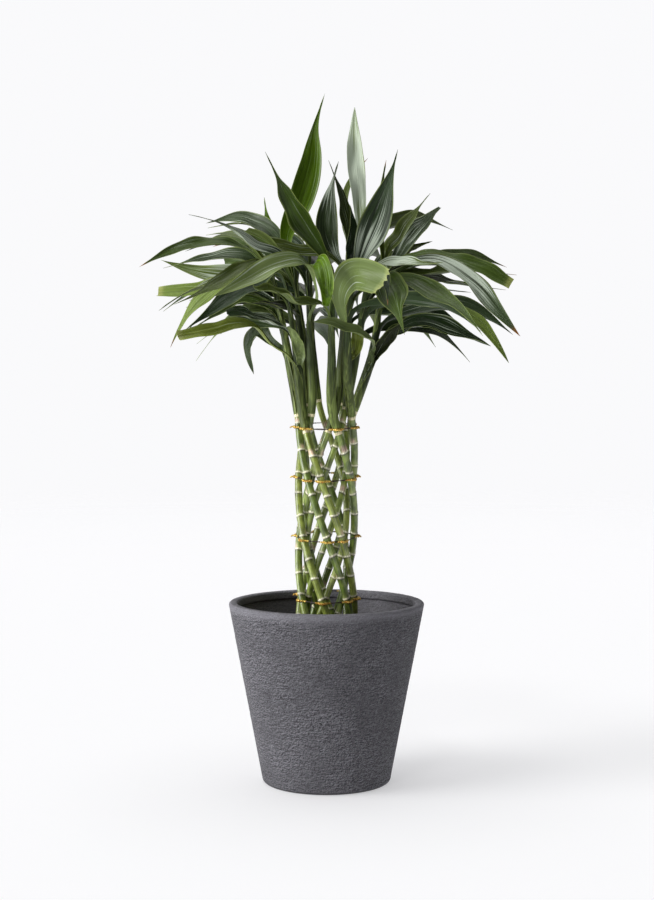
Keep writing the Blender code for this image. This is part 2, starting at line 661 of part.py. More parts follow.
def swung(cane, leaf, aside, up):
    """The leaf turned about its root: aside round the vertical, and up from the level."""
    root = cane_point(cane, leaf.root * CM) / CM
    heading = Vector(leaf.path[-1]) - root
    level = Vector((heading.x, heading.y, 0)).cross(UP)
    turn = Matrix.Rotation(math.radians(aside), 3, "Z") @ Matrix.Rotation(math.radians(up), 3, level)
    return replace(leaf, path=tuple(tuple(root + turn @ (Vector(point) - root)) for point in leaf.path))


def swings():
    """(aside, up) angles to try, nearest to the wanted place first."""
    yield 0, 0
    for ring in range(1, SWING_RINGS + 1):
        for step in range(8):
            turn = math.radians(45 * step + 22.5 * (ring % 2))
            yield SWING_STEP * ring * math.cos(turn), SWING_STEP * ring * math.sin(turn)


def settle(cane, leaf, crowd):
    """The leaf at the first swing that leaves it clear of everything but its own stem, or None."""
    others, own = crowd.tests(cane.name)
    root = cane_point(cane, leaf.root * CM)
    for aside, up in swings():
        tried = swung(cane, leaf, aside, up)
        shape = blade_shape(cane, tried, SOLVE_THICKNESS)
        corners, faces = faces_of(shape)
        shape.free()
        blades = blade_only(corners, faces, root)
        if others and BVHTree.FromPolygons(corners, faces).overlap(others):
            continue
        if own and BVHTree.FromPolygons(corners, blades).overlap(own):
            continue
        return tried, (corners, faces, blades)
    return None, None


def more_leaves(cane, draw):
    """Leaves spiralling up a cane: the low ones level, the high ones shorter and steeper."""
    count, low_bearing, high_bearing = MORE_LEAVES[cane.name]
    made = []
    for step in range(count):
        share = (step + 0.5) / count
        golden = (step * GOLDEN + draw.uniform(0.0, 0.2)) % 1
        bearing = low_bearing + (high_bearing - low_bearing) * golden
        root_height = cane.top[2] - CROWN_TIP - (1 - share) * CROWN_DEPTH
        root = cane_point(cane, root_height * CM) / CM
        length = draw.uniform(*LENGTHS)
        steepest = SIDE_SLOPE + BACK_SLOPE * abs(math.cos(math.radians(bearing)))
        slope = math.radians(LOWEST_SLOPE + steepest * share**1.5 + draw.uniform(-5, 5))
        outward = at_bearing(bearing, 1, 0)
        chord = outward * math.cos(slope) + UP * math.sin(slope)
        lift = UP * math.cos(slope) - outward * math.sin(slope)
        arch = length * draw.uniform(*ARCHES)
        path = [root + chord * length * s + lift * arch * 4 * s * (1 - s) for s in ARCH_SHARES]
        bank, hand = draw.uniform(*BANKS), draw.choice((-90, 90))
        width = draw.uniform(*WIDTHS)
        faces = (bearing + hand, 90 - bank)
        made.append(Leaf(cane.name, root_height, tuple(map(tuple, path)), width, faces))
    return made


def placed_leaves():
    """Every leaf in its settled place, by cane: the front ones first, then the rest."""
    draw = random.Random(SEED)
    by_name = {cane.name: cane for cane in CANES}
    crowd = Crowd()
    guides = new_collection("guides")
    for cane in CANES:
        points, radii = stem_stops(cane)
        stem = as_mesh(tube("stem_" + cane.name, points, [r + MM for r in radii], guides, sides=STEM_SIDES))
        corners = [corner.co.copy() for corner in stem.data.vertices]
        crowd.add(cane.name, corners, [list(face.vertices) for face in stem.data.polygons], [])
        bpy.data.objects.remove(stem)
    bpy.data.collections.remove(guides)
    wanted = list(FRONT_LEAVES)
    for name in MORE_LEAVES:
        wanted += more_leaves(by_name[name], draw)
    found = {cane.name: [] for cane in CANES}
    for leaf in wanted:
        settled, shape = settle(by_name[leaf.cane], leaf, crowd)
        if settled:
            crowd.add(leaf.cane, *shape)
            found[leaf.cane].append(settled)
    return found


def make_shoot(cane, leaves, collection, material):
    """A leafy top: its stem and blades joined in one solid."""
    points, radii = stem_stops(cane)
    shoot = as_mesh(tube("shoot_" + cane.name, points, radii, collection, sides=STEM_SIDES))
    blades = new_collection("blades_" + cane.name)
    for number, leaf in enumerate(leaves):
        mesh = bpy.data.meshes.new(f"blade_{cane.name}_{number}")
        shape = blade_shape(cane, leaf, BLADE_THICKNESS)
        shape.to_mesh(mesh)
        shape.free()
        mesh_object(mesh.name, mesh, blades)
    made = boolean(shoot, "UNION", blades, "MANIFOLD")
    keep_largest_part(made)
    made.data.materials.append(material)
    return made


def main():
    for old in list(bpy.data.objects):
        bpy.data.objects.remove(old)
    parts = new_collection("potted_dracaena")
    draw = random.Random(SEED)
    charcoal = new_material("charcoal", (0.075, 0.075, 0.082), 0.85)
    earth = new_material("earth", (0.05, 0.035, 0.025), 0.95)
    green_cane = new_material("cane", (0.2, 0.32, 0.07), 0.45)
    green_leaf = new_material("leaf", (0.05, 0.13, 0.03), 0.4)
    gold = new_material("gold", (0.7, 0.45, 0.12), 0.35, 0.8)
    make_pot(parts, charcoal)
    make_soil(parts, earth, CANES)
    for cane in CANES:
        make_cane(cane, draw, parts, green_cane)
    leaves = placed_leaves()
    for cane in CANES:
        make_shoot(cane, leaves[cane.name], parts, green_leaf)
    for number, height in enumerate(TIE_HEIGHTS, 1):
        make_tie(number, height, parts, gold)


main()
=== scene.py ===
"""The looks of the potted dracaena: skins, leaves, soil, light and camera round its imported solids.

The plant's own layout is worked out as its solids' source does: the same canes, leaves and draws.
"""

import math
import random
from dataclasses import dataclass, replace

import bmesh
import bpy
from mathutils import Matrix, Vector, noise
from mathutils.bvhtree import BVHTree


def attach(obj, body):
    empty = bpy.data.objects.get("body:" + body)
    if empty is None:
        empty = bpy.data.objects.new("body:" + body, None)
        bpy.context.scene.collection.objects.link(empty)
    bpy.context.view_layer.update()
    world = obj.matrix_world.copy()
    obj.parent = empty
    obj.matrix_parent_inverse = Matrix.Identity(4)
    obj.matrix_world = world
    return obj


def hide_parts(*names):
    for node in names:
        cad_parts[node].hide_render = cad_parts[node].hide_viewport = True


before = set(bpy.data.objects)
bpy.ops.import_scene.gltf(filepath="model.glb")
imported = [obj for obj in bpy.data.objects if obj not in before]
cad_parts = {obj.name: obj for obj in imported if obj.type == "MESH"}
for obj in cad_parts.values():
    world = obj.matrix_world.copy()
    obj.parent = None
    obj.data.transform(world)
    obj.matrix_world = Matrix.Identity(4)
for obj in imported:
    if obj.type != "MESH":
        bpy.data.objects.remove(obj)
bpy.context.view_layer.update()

CM = 0.01
MM = 0.001
UP = Vector((0, 0, 1))
SAME_PLACE = 0.01 * MM
SEED = 7

# Pot
POT_HEIGHT = 24.5 * CM
RIM_RADIUS = 13.3 * CM
FOOT_RADIUS = 8.65 * CM
RIM_WIDTH = 12.5 * MM
RIM_ROUNDING = 3.5 * MM
LIP_DEPTH = 9.0 * MM
LIP_STEP = 3.5 * MM
WALL = 8.5 * MM
FLOOR = 12.0 * MM
FOOT_ROUNDING = 6.0 * MM

# Soil
SOIL_TOP = 20.6 * CM
SOIL_DOME = 4.0 * MM
SOIL_CLEARANCE = 0.5 * MM

# Canes: an outer ring that leans one way and an inner ring that leans the other
REFERENCE_HEIGHT = 48.0 * CM
OUTER_RING = 37.8 * MM
INNER_RING = 27.3 * MM
OUTER_CANE = 4.9 * MM
INNER_CANE = 4.2 * MM
OUTER_TURN = -541.0
INNER_TURN = 800.0
SPREAD_START = 48.5 * CM
SPREAD_MIDDLE = 58.0 * CM
RIDGE = 0.45 * MM
RIDGE_HALF = 1.2 * MM
RING_SPACING = (2.5 * CM, 3.1 * CM)
STEM_SIDES = 6

# Wire ties
TIE_HEIGHTS = (25.1 * CM, 33.3 * CM, 41.4 * CM, 48.3 * CM)
TIE_SLOPE = 0.09
WIRE = 0.9 * MM
TIE_CLEARANCE = 1.2 * MM
TIE_ANGLES = (-75, -25, 25, 75)
TIE_ROUNDS = 3
RING_TIE_DISTANCE = 4.5 * MM

# Leafy tops
JOINT_GAP = 0.5 * MM
JOINT_LENGTH = 3.0 * MM
SHEATH = 0.9 * MM
STEM_SHARES = (0.15, 0.3, 0.45, 0.6, 0.8, 1.0)
STEM_SWELL = (0, 0, 0.5, 1, 1, 1, 0.5, 0)
SOLVE_THICKNESS = 2.2 * MM
STALK_WIDTH = 8.0 * MM
STALK_END = 0.3
NECK = 0.08
BLADE_POWER = 1.55
BLADE_FOLD = 0.2
STALK_FOLD = 0.5
FOLD_END = 0.4
SPINE_STEPS = 24
CURVE_STEPS = 10
FEWEST_ROWS = 4
ROOT_SHARE = 0.17
SWING_STEP = 2.5
SWING_RINGS = 9

# The rule for the leaves that don't show from the front, in centimetres and degrees
CROWN_TIP = 1.0
CROWN_DEPTH = 9.0
GOLDEN = 0.618
LOWEST_SLOPE = -4
SIDE_SLOPE = 10
BACK_SLOPE = 38
LENGTHS = (16.5, 20.5)
WIDTHS = (2.7, 3.6)
ARCHES = (0.16, 0.24)
ARCH_SHARES = (0.3, 0.65, 1.0)
BANKS = (15, 50)

# How finely the pieces are modelled
SHARP = math.radians(50)
POT_STEPS = 400
POT_PACE = 1.6 * MM
INSIDE_PACE = 2.0 * MM
SOIL_STEPS = 200
SOIL_RINGS = 70
CRUMBS = 420
CANE_COLUMNS = 20
CANE_PACE = 5.0 * MM
RING_REACH = 3.4 * MM
RING_ROWS = (-3, -2.2, -1.6, -1, -0.6, -0.2, 0.2, 0.6, 1, 1.8, 3)
STEM_ROWS = 60
STEM_COLUMNS = 16
SHEATH_ROWS = 10
LEAF_COLUMNS = 14
TIE_STEPS = 8
END_STEPS = 12
WIRE_COLUMNS = 7
FLOOR_STEPS = 96

# The pot's stucco, with grains to a metre along x, y and z, the offset of the painted light and shade on its
# strokes' edges, and its colours
COMBED_GRAIN = Vector((60, 60, 430))
BROKEN_GRAIN = Vector((190, 190, 700))
PITTED_GRAIN = Vector((250, 250, 420))
COMBED_DEPTH = 0.42 * MM
BROKEN_DEPTH = 0.34 * MM
PIT_DEPTH = 0.6 * MM
INSIDE_ROUGH = 0.45
RIM_ROUGH = 0.4
LIP_ROUNDING = 2.0 * MM
POT_PAINTED_LIGHT_OFFSET = 0.8 * MM
POT_DARK = (0.035, 0.034, 0.04, 1)
POT_PALE = (0.285, 0.28, 0.312, 1)
# dark of the real pits and of the painted contact shadow at the foot
POT_PIT_AND_SHADOW = (0.02, 0.02, 0.023, 1)
POT_FLECK = (0.42, 0.42, 0.45, 1)

# The soil's mounds, the canes' knots and colours, and the twist of the ties
SOIL_MOUND = 2.5 * MM
CANE_KNOT = 0.35 * MM
CANE_BUD = 1.1 * MM
SCAR_HEIGHT = 8.0 * MM
CANE_LIGHTER_BELOW = 34.0 * CM
CANE_TINTS = ((0.19, 0.26, 0.045), (0.26, 0.32, 0.06), (0.15, 0.22, 0.04), (0.24, 0.3, 0.07))
CANE_PALE = (0.46, 0.52, 0.2)
CANE_YELLOW = (0.34, 0.37, 0.09, 1)
CANE_STAIN = (0.09, 0.05, 0.02, 1)
CANE_CREAM = (0.95, 0.91, 0.7)
CANE_SCAR = (0.72, 0.5, 0.4)
TWIST_PITCH = 5.5 * MM

# How a leaf's sheath, stalk, blade and tip are bent
SHEATH_FOOT = 0.97
SHEATH_MOUTH = 0.55
STALK_CHANNEL = 1.1
BLADE_OPENING = 3.0 * CM
BLADE_SWELL = 3.6 * MM
LEAF_THICKNESS = 0.45 * MM
CROWN_STEM = 2.4 * MM
TIP_TWIST = 1.1
TIP_WAIST = 0.5
TIP_RIBBON = 1.1 * MM
RAGGED_DEPTH = 4.0 * MM

# The leaves' colours, and the painted shade that darkens them towards the middle of the crown
CROWN_PAINTED_SHADE = 0.7
CROWN_SHADE_REACH = 7.0 * CM
STEM_FOOT = (0.72, 0.66, 0.42, 0)
STEM_GREEN = (0.2, 0.26, 0.065)
LEAF_STALK = (0.022, 0.034, 0.008)
LEAF_EDGE = (0.3, 0.36, 0.11)
# the pale colour of the leaves' painted highlight, streaks painted into the base colour
LEAF_PAINTED_SHEEN = (0.58, 0.66, 0.54, 1)
LEAF_UNDER = (0.15, 0.21, 0.09, 1)
LEAF_TINTS = {
    "dark": (0.021, 0.043, 0.012),
    "mid": (0.056, 0.092, 0.015),
    "bright": (0.1, 0.19, 0.006),
    "lit": (0.13, 0.185, 0.035),
    "pale": (0.17, 0.225, 0.075),
    "soft": (0.13, 0.178, 0.055),
    "moss": (0.026, 0.048, 0.004),
    "grey": (0.038, 0.06, 0.022),
    "olive": (0.066, 0.094, 0.014),
    "black": (0.016, 0.022, 0.006),
    "yellow": (0.16, 0.2, 0.03),
}
SMOOTH_TINTS = ("pale", "soft")
# the streaks' strength on smooth leaves, and on leaves with a strong painted highlight
SMOOTH_STREAKS = 0.2
PAINTED_SHEEN_STREAKS = 0.95

# Where along a blade each kind of tip begins, and its colour
LEAF_TIPS = {
    "brown": (0.93, (0.3, 0.12, 0.03)),
    "cut": (0.95, (0.3, 0.34, 0.1)),
    "ragged": (0.97, (0.3, 0.34, 0.12)),
}

# The tint and the tip of each front leaf, in their order, and those that the other leaves draw from
FRONT_LOOKS = (
    ("bright", ""), ("moss", ""), ("pale", ""), ("grey", ""), ("olive", ""), ("olive", "brown"),
    ("dark", ""), ("dark", ""), ("bright", ""), ("olive", ""), ("grey", ""), ("olive", ""),
    ("olive", "brown"), ("dark", ""), ("olive", ""), ("mid", "brown"), ("grey", ""), ("mid", ""),
    ("lit", ""), ("lit", "cut"), ("olive", ""), ("pale", ""), ("dark", ""), ("lit", "brown"),
    ("yellow", "cut"), ("pale", ""), ("mid", ""), ("dark", ""), ("grey", ""), ("olive", ""),
    ("black", ""), ("bright", ""), ("soft", "ragged"), ("mid", ""), ("dark", "brown"), ("pale", ""),
    ("pale", ""), ("yellow", ""), ("black", ""), ("olive", ""), ("mid", "cut"), ("olive", ""),
    ("grey", "brown"), ("mid", ""), ("lit", ""), ("dark", ""), ("dark", ""), ("dark", ""),
    ("black", ""), ("dark", ""), ("mid", "brown"), ("mid", ""), ("black", ""),
)
MORE_LOOKS = (
    ("dark", ""), ("dark", ""), ("mid", ""), ("olive", ""), ("grey", ""), ("mid", "brown"), ("black", ""),
)

# The painted highlight, pale streaks painted into the base colour, of some front leaves, by their number:
# (middle, reach, strength) along the blade
FRONT_PAINTED_SHEENS = {
    0: ((0.7, 0.2, 0.3),),
    1: ((0.35, 0.25, 0.0),),
    2: ((0.55, 0.5, 1.5),),
    3: ((0.78, 0.22, 1.0), (0.18, 0.12, 0.8)),
    6: ((0.28, 0.18, 0.8), (0.65, 0.2, 0.3)),
    9: ((0.5, 0.2, 0.3),),
    10: ((0.55, 0.3, 0.75),),
    13: ((0.6, 0.25, 0.9),),
    14: ((0.5, 0.25, 0.3),),
    18: ((0.5, 0.3, 0.9),),
    20: ((0.5, 0.25, 0.2),),
    21: ((0.5, 0.35, 0.45),),
    27: ((0.5, 0.3, 0.7),),
    31: ((0.5, 0.3, 0.05),),
    32: ((0.45, 0.3, 0.1),),
    33: ((0.5, 0.2, 0.1),),
    39: ((0.55, 0.3, 1.2),),
    40: ((0.5, 0.2, 0.2),),
    42: ((0.5, 0.3, 1.1),),
    50: ((0.5, 0.3, 0.8),),
}

# Floor, backdrop and camera, and the far lights: bearing, height and width in degrees, power, tone
FLOOR_RADIUS = 6.0
FLOOR_FADE = 3.0
FLOOR_TONE = (0.552, 0.552, 0.558, 1)
FLOOR_GLOW = 0.46
GLOW_TONE = (0.98, 0.98, 1.0, 1)
FILL_FROM = (-0.5, 0.55, 0.65)
FILL_START = -0.25
FILL_LEAST = 0.08
FILL_MOST = 0.55
BACKDROP = 0.97
BACKDROP_TONE = (0.985, 0.985, 1.0, 1)
CAMERA_PLACE = (0, -2.23, 0.55)
CAMERA_DIP = 2.55
CAMERA_LENS = 66
CAMERA_SHIFT = 0.5 / 900
LIGHTS = (
    ("key", -71, 46, 30, 0.75, (1.0, 0.99, 0.97)),
    ("side", -71, 4, 46, 3.3, (1.0, 1.0, 1.0)),
    ("overhead", 180, 84, 36, 0.75, (1.0, 1.0, 1.0)),
    ("sparkle", -20, 50, 12, 0.25, (1.0, 1.0, 1.0)),
)


@dataclass
class Cane:
    """One stalk, in centimetres: its ring, its bearing at the reference height, the height where
    its leafy top begins, where that stands at the spread's middle, and where it ends."""

    name: str
    outer: bool
    bearing: float
    joint: float
    middle: tuple
    top: tuple


CANES = (
    Cane("01", True, -47, 47.4, (-4.0, -2.6), (-5.4, -3.9, 67.5)),
    Cane("02", True, -78, 49.5, (-5.2, 0.3), (-7.3, 0.7, 69.0)),
    Cane("03", True, -133, 50.5, (-3.0, 4.6), (-4.3, 6.2, 68.5)),
    Cane("04", True, 22, 47.3, (0.7, -5.0), (0.8, -7.0, 68.0)),
    Cane("05", True, 70, 49.3, (2.7, -4.2), (3.4, -5.8, 68.0)),
    Cane("06", True, 122, 50.0, (6.2, 1.4), (7.6, 1.8, 69.0)),
    Cane("07", True, 176, 51.0, (3.5, 4.6), (6.5, 6.0, 68.5)),
    Cane("08", False, 8, 47.5, (2.0, -2.2), (2.5, -3.6, 69.5)),
    Cane("09", False, 44, 50.5, (4.0, -1.0), (5.7, -2.4, 70.0)),
    Cane("10", False, 119, 51.0, (2.7, 2.4), (2.8, 4.0, 70.5)),
    Cane("11", False, 180, 51.5, (-1.9, 3.0), (-2.3, 4.4, 70.5)),
    Cane("12", False, 234, 51.0, (-3.3, 0.9), (-4.4, 1.6, 70.0)),
    Cane("13", False, 301, 49.7, (-2.1, -2.6), (-2.6, -4.4, 69.0)),
)


@dataclass
class Leaf:
    """One blade, in centimetres: the cane and the height that it leaves, points along its middle
    line up to its tip, its width, and the (bearing, lift) that its upper side faces halfway."""

    cane: str
    root: float
    path: tuple
    width: float
    faces: tuple
    widest: float = 0.45
    trim: float = 1.0
    twist: float = 0.0


# The leaves that show from the front, each placed one by one
FRONT_LEAVES = (
    Leaf("12", 68.5, ((-5.5, 1.5, 74), (-3.6, 2.3, 78.8), (-2.2, 3, 83.8),
         (-1.5, 3.6, 89.1), (-0.2, 4, 93.6)), 3.8, (15, 10), widest=0.43),
    Leaf("04", 68, ((-0.1, -8, 70.5), (-3, -9, 74.9),
         (-5.8, -10.5, 79.7), (-7.8, -12, 83.5)), 3.3, (-36, 15), widest=0.42),
    Leaf("09", 68.5, ((4.6, -1, 73.9), (4.4, 0, 78.3),
         (3.9, 1.2, 84.2), (3.8, 2, 91.4)), 2.4, (10, 0), widest=0.6),
    Leaf("08", 68.5, ((0.9, -4, 71.4), (0.1, -4.3, 74),
         (0.3, -4, 77.9), (1.6, -3, 83.5)), 3.1, (0, 15), widest=0.38),
    Leaf("10", 69, ((2.9, 3, 72.9), (2.4, 2.5, 77.3), (1.4, 2, 81.2), (0.3, 1.5, 84.2)), 2.4, (50, 10)),
    Leaf("10", 68, ((3.2, 5, 74.4), (2.7, 5.6, 80), (3.5, 5.9, 82.3), (5.7, 6.2, 85.1)), 2, (-60, 0)),
    Leaf("05", 67, ((4.9, -5.8, 71.3), (6.6, -6.5, 75.2),
         (8, -7.5, 79.8), (9.2, -8.5, 84.3)), 4.4, (-10, 15), widest=0.4),
    Leaf("08", 67, ((3.4, -2, 71.9), (3.7, -1.5, 74.6), (3.3, -1, 77.9)), 2.2, (30, 0)),
    Leaf("03", 68, ((-7, 7.5, 72.6), (-8, 8, 75.7), (-8.7, 8.5, 80)), 2.2, (0, 0)),
    Leaf("06", 68.5, ((8.5, 1.5, 71.9), (10.2, 1.5, 74.3),
         (11.8, 2, 76.9), (14.1, 2.5, 79.9)), 3.4, (-47, 36), widest=0.42),
    Leaf("07", 68, ((9.9, 6, 71.6), (11.4, 7, 74.2),
         (13.6, 8.5, 76.4), (15.9, 9, 78.6)), 3.3, (-20, 20), widest=0.55, trim=0.93),
    Leaf("07", 67, ((9.6, 7, 71.2), (11.7, 9, 72.8), (15, 11, 74.1)), 2.4, (0, 65)),
    Leaf("06", 68, ((7.1, 1, 75.4), (7.4, 1.5, 80.2), (8.1, 2, 84.3)), 2.2, (60, 0)),
    Leaf("13", 66.5, ((-5.4, -4, 70.5), (-9.2, -6, 72.1),
         (-13, -8, 74.5), (-17.7, -10, 75.8)), 2.6, (42, 48)),
    Leaf("08", 67.5, ((0.5, -5.5, 70.7), (-3.5, -7, 71.3),
         (-7, -9, 72.2), (-10.3, -11, 73.7)), 2.5, (20, 40), trim=0.75),
    Leaf("02", 67.5, ((-8.7, 0, 70.1), (-10.8, -0.5, 72), (-16.2, -1.5, 72.8),
         (-21.5, -2.5, 71.4), (-24.9, -3, 69.5)), 2.8, (0, 60), twist=-60),
    Leaf("02", 66.5, ((-8.8, 3, 69.9), (-11.4, 4, 71.5),
         (-16.3, 5, 71.2), (-22.6, 6.2, 70)), 2.7, (0, 50), twist=25),
    Leaf("03", 67, ((-9.1, 10, 71.1), (-11.5, 11.5, 71.8), (-14.6, 13, 71.6)), 3.4, (0, 20), trim=0.8),
    Leaf("03", 66, ((-9, 7.5, 70.1), (-12.8, 8.5, 69.2),
         (-17, 9.2, 69.5), (-23.3, 10, 71.4)), 3.3, (10, 32), widest=0.5),
    Leaf("02", 65, ((-8.8, 2, 69.2), (-12.9, 3, 68.3),
         (-17.3, 4, 66.9), (-23.2, 5, 66.5)), 3, (0, 55), trim=0.72),
    Leaf("02", 66, ((-8.6, -1, 70.1), (-10.7, -3, 69.3),
         (-14.8, -6.5, 66.7), (-19.6, -10, 64.3)), 2.9, (0, 50)),
    Leaf("13", 62, ((-1.4, -7, 66.3), (-3, -8.5, 69.7), (-6, -11, 69.5),
         (-9.9, -14, 67.3), (-14.2, -17, 64.9)), 3.2, (10, 50), widest=0.55),
    Leaf("01", 65.5, ((-6.6, -5, 68.6), (-9.2, -8, 67.1),
         (-13.1, -12, 64.5), (-17.8, -15.5, 60.8)), 3.3, (0, 50)),
    Leaf("02", 64, ((-9.6, 0, 69.1), (-13.7, 1, 67.6),
         (-18, 2, 64.4), (-21.4, 3.5, 59)), 2.6, (0, 42), widest=0.55),
    Leaf("01", 56, ((-7.5, -2.8, 59.3), (-10.1, -5, 61.8),
         (-14.5, -8, 60.9), (-19.1, -10.5, 60.1)), 2.6, (0, 52), trim=0.72),
    Leaf("03", 60, ((-10.3, 6, 64.5), (-12.6, 7, 63.4),
         (-15.7, 8, 60.5), (-18.3, 8.5, 57.2)), 2.3, (0, 45)),
    Leaf("02", 62, ((-11.1, 2, 65.4), (-15.2, 3, 63.4), (-18.2, 4, 61.7)), 2.4, (0, 55)),
    Leaf("01", 58.5, ((-5.5, -5.5, 61.4), (-8.3, -9, 62.3),
         (-10.6, -12, 63.1), (-12.5, -15, 62.9)), 2.7, (0, 48), trim=0.8),
    Leaf("02", 57.5, ((-7.7, 2, 60), (-9, 3.5, 61.4), (-10.3, 5, 60.3),
         (-10.7, 5.8, 58.3), (-10.1, 6.5, 55.3)), 2.8, (-20, 30), widest=0.55),
    Leaf("04", 61, ((-0.6, -8, 64.3), (-3.7, -11, 64.5),
         (-6.5, -14, 65.7), (-8.6, -17, 65.8)), 2.7, (0, 48), trim=0.72),
    Leaf("12", 63, ((-4.9, -2, 64), (-6.8, -3.5, 64.6), (-8.8, -5, 64.7)), 2.2, (0, 60), trim=0.9),
    Leaf("04", 64.5, ((-1.5, -8.3, 69.6), (-0.8, -10.5, 69.7),
         (-0.1, -13, 66.6), (-0.2, -14.5, 63.9)), 2.6, (0, 15), trim=0.85, widest=0.5),
    Leaf("05", 60, ((2.3, -7.5, 62.6), (1.9, -9.5, 65.8),
         (3.1, -11.5, 67.8), (7.1, -15.5, 66.7)), 4.4, (0, 30), trim=0.62),
    Leaf("09", 66, ((6.7, -6, 68.3), (7.8, -10, 67),
         (8.8, -14, 64), (9.7, -17, 60.2)), 4.6, (10, 10), widest=0.5),
    Leaf("05", 66, ((5.9, -8, 68.6), (7.3, -12.5, 67.6), (7.8, -17, 63.4)), 2, (0, 10)),
    Leaf("06", 57, ((5.8, -4, 59.8), (3.3, -8, 61),
         (0.7, -10.5, 61.9), (-1.7, -12, 62)), 2.2, (0, 35), widest=0.6),
    Leaf("01", 55, ((-3.5, -5, 58.2), (-4.1, -6, 60.2), (-4.9, -7, 61.5)), 1.6, (0, 10), trim=0.8),
    Leaf("08", 56, ((3.8, -4.5, 57.8), (4.3, -5.5, 60.8)), 1.8, (0, 0), trim=0.7),
    Leaf("06", 56, ((7.5, 0, 58.6), (8.8, -1, 60.6), (10.5, -2, 62.8)), 2.4, (-30, 20)),
    Leaf("05", 66, ((6.8, -5, 69.4), (9.3, -8, 69.6),
         (11.9, -11.5, 69.2), (14.4, -14, 69.2)), 2.9, (0, 50)),
    Leaf("06", 67.5, ((9.2, 0, 70.1), (12.3, -0.5, 71.2), (17.2, -1, 70.7),
         (21.2, -1, 69.3), (24.7, -1, 67.3)), 3, (0, 52), trim=0.72),
    Leaf("06", 65.5, ((10, 2.5, 68.8), (14.1, 2.5, 69.1), (18.4, 2.5, 69.6),
         (22.3, 3, 68.6), (24.9, 3, 67.2)), 2.5, (0, 58), trim=0.75),
    Leaf("09", 67.5, ((9.7, -4, 69.9), (14.1, -6, 70.2), (18.1, -8, 68),
         (21.6, -10, 64), (24.8, -11.5, 60.1)), 2.9, (0, 50), widest=0.55),
    Leaf("05", 64, ((9.6, -6, 67.6), (13.3, -9.5, 65.9),
         (16.7, -13, 63.7), (19.6, -16, 60.1)), 3.4, (0, 46)),
    Leaf("06", 64, ((10.6, 0, 68.1), (15.2, -1, 65.4),
         (20.4, -2, 62.1), (24.3, -3, 56.8)), 2.6, (0, 55), widest=0.6),
    Leaf("06", 58.5, ((9.2, 0, 61.1), (12.6, -0.4, 62.4),
         (16.6, -1, 61.2), (22, -1.5, 59.1)), 3.5, (0, 42), widest=0.6),
    Leaf("06", 57.5, ((10, 1, 61.3), (13, 2, 62), (15.9, 3, 60.9)), 2.2, (0, 60)),
    Leaf("09", 64, ((7.8, -2, 67.2), (10.8, -4, 66.2), (14.5, -6, 65.2)), 2.8, (0, 45)),
    Leaf("07", 66, ((10.2, 6, 69.4), (14.4, 8, 68.9), (19.6, 10, 68)), 3, (0, 48), trim=0.85),
    Leaf("07", 64.5, ((10.2, 7, 68), (15.2, 9, 67.3), (20.4, 11, 66.9)), 2.2, (0, 62)),
    Leaf("07", 67, ((10.1, 4.5, 69.6), (17, 5, 70.5), (22.5, 5.2, 69.4), (26.2, 5.2, 69)), 1.8, (0, 66)),
    Leaf("07", 65, ((10, 9, 69.6), (17, 13, 68.5), (25.9, 16, 67.5)), 2.2, (0, 64)),
    Leaf("07", 62, ((8.1, 7, 65.6), (12, 10, 64.5), (15.3, 13, 63.5)), 2, (0, 70)),
)

# How many more leaves each cane carries, and the bearings that they spread between
MORE_LEAVES = {
    "01": (2, -130, -80),
    "02": (3, -160, -95),
    "03": (7, -205, -100),
    "05": (1, 70, 100),
    "06": (3, 85, 150),
    "07": (6, 100, 190),
    "08": (1, 60, 100),
    "09": (2, 80, 140),
    "10": (6, 110, 200),
    "11": (8, 150, 260),
    "12": (5, 190, 275),
    "13": (1, -120, -90),
}


def smooth(value):
    """0 below 0, 1 above 1, and an even ramp between."""
    value = min(1.0, max(0.0, value))
    return value * value * (3 - 2 * value)


def at_bearing(bearing, radius, height):
    turn = math.radians(bearing)
    return Vector((radius * math.sin(turn), -radius * math.cos(turn), height))


def hermite(start, end, start_slope, end_slope, share):
    """A point on the cubic between two points whose slopes are given for the whole stretch."""
    square, cube = share * share, share**3
    ends = start * (2 * cube - 3 * square + 1) + end * (3 * square - 2 * cube)
    return ends + start_slope * (cube - 2 * square + share) + end_slope * (cube - square)


def helix_point(cane, height):
    turn = OUTER_TURN if cane.outer else INNER_TURN
    ring = OUTER_RING if cane.outer else INNER_RING
    return at_bearing(cane.bearing + turn * (height - REFERENCE_HEIGHT), ring, height)


def cane_point(cane, height):
    """The middle of a cane at a height: a helix up to the top tie, then a stem that spreads."""
    if height <= SPREAD_START:
        return helix_point(cane, height)
    start = helix_point(cane, SPREAD_START)
    middle = Vector((*cane.middle, SPREAD_MIDDLE / CM)) * CM
    top = Vector(cane.top) * CM
    start_slope = (start - helix_point(cane, SPREAD_START - MM)) / MM
    low, high = (middle - start) / (middle.z - start.z), (top - middle) / (top.z - middle.z)
    low_span, high_span = middle.z - start.z, top.z - middle.z
    middle_slope = (low * high_span + high * low_span) / (low_span + high_span)
    if height < middle.z:
        share = (height - start.z) / low_span
        return hermite(start, middle, start_slope * low_span, middle_slope * low_span, share)
    share = (height - middle.z) / high_span
    return hermite(middle, top, middle_slope * high_span, high * high_span, share)


def cane_direction(cane, height):
    return (cane_point(cane, height + MM) - cane_point(cane, height - MM)).normalized()


def cane_radius(cane):
    return OUTER_CANE if cane.outer else INNER_CANE


def tie_height(middle, point):
    """A tie dips towards the front, so its height depends on the place round the tower."""
    return middle + TIE_SLOPE * point.y


def near_tie(cane, height):
    point = cane_point(cane, height)
    return any(abs(height - tie_height(tie, point)) < RING_TIE_DISTANCE for tie in TIE_HEIGHTS)


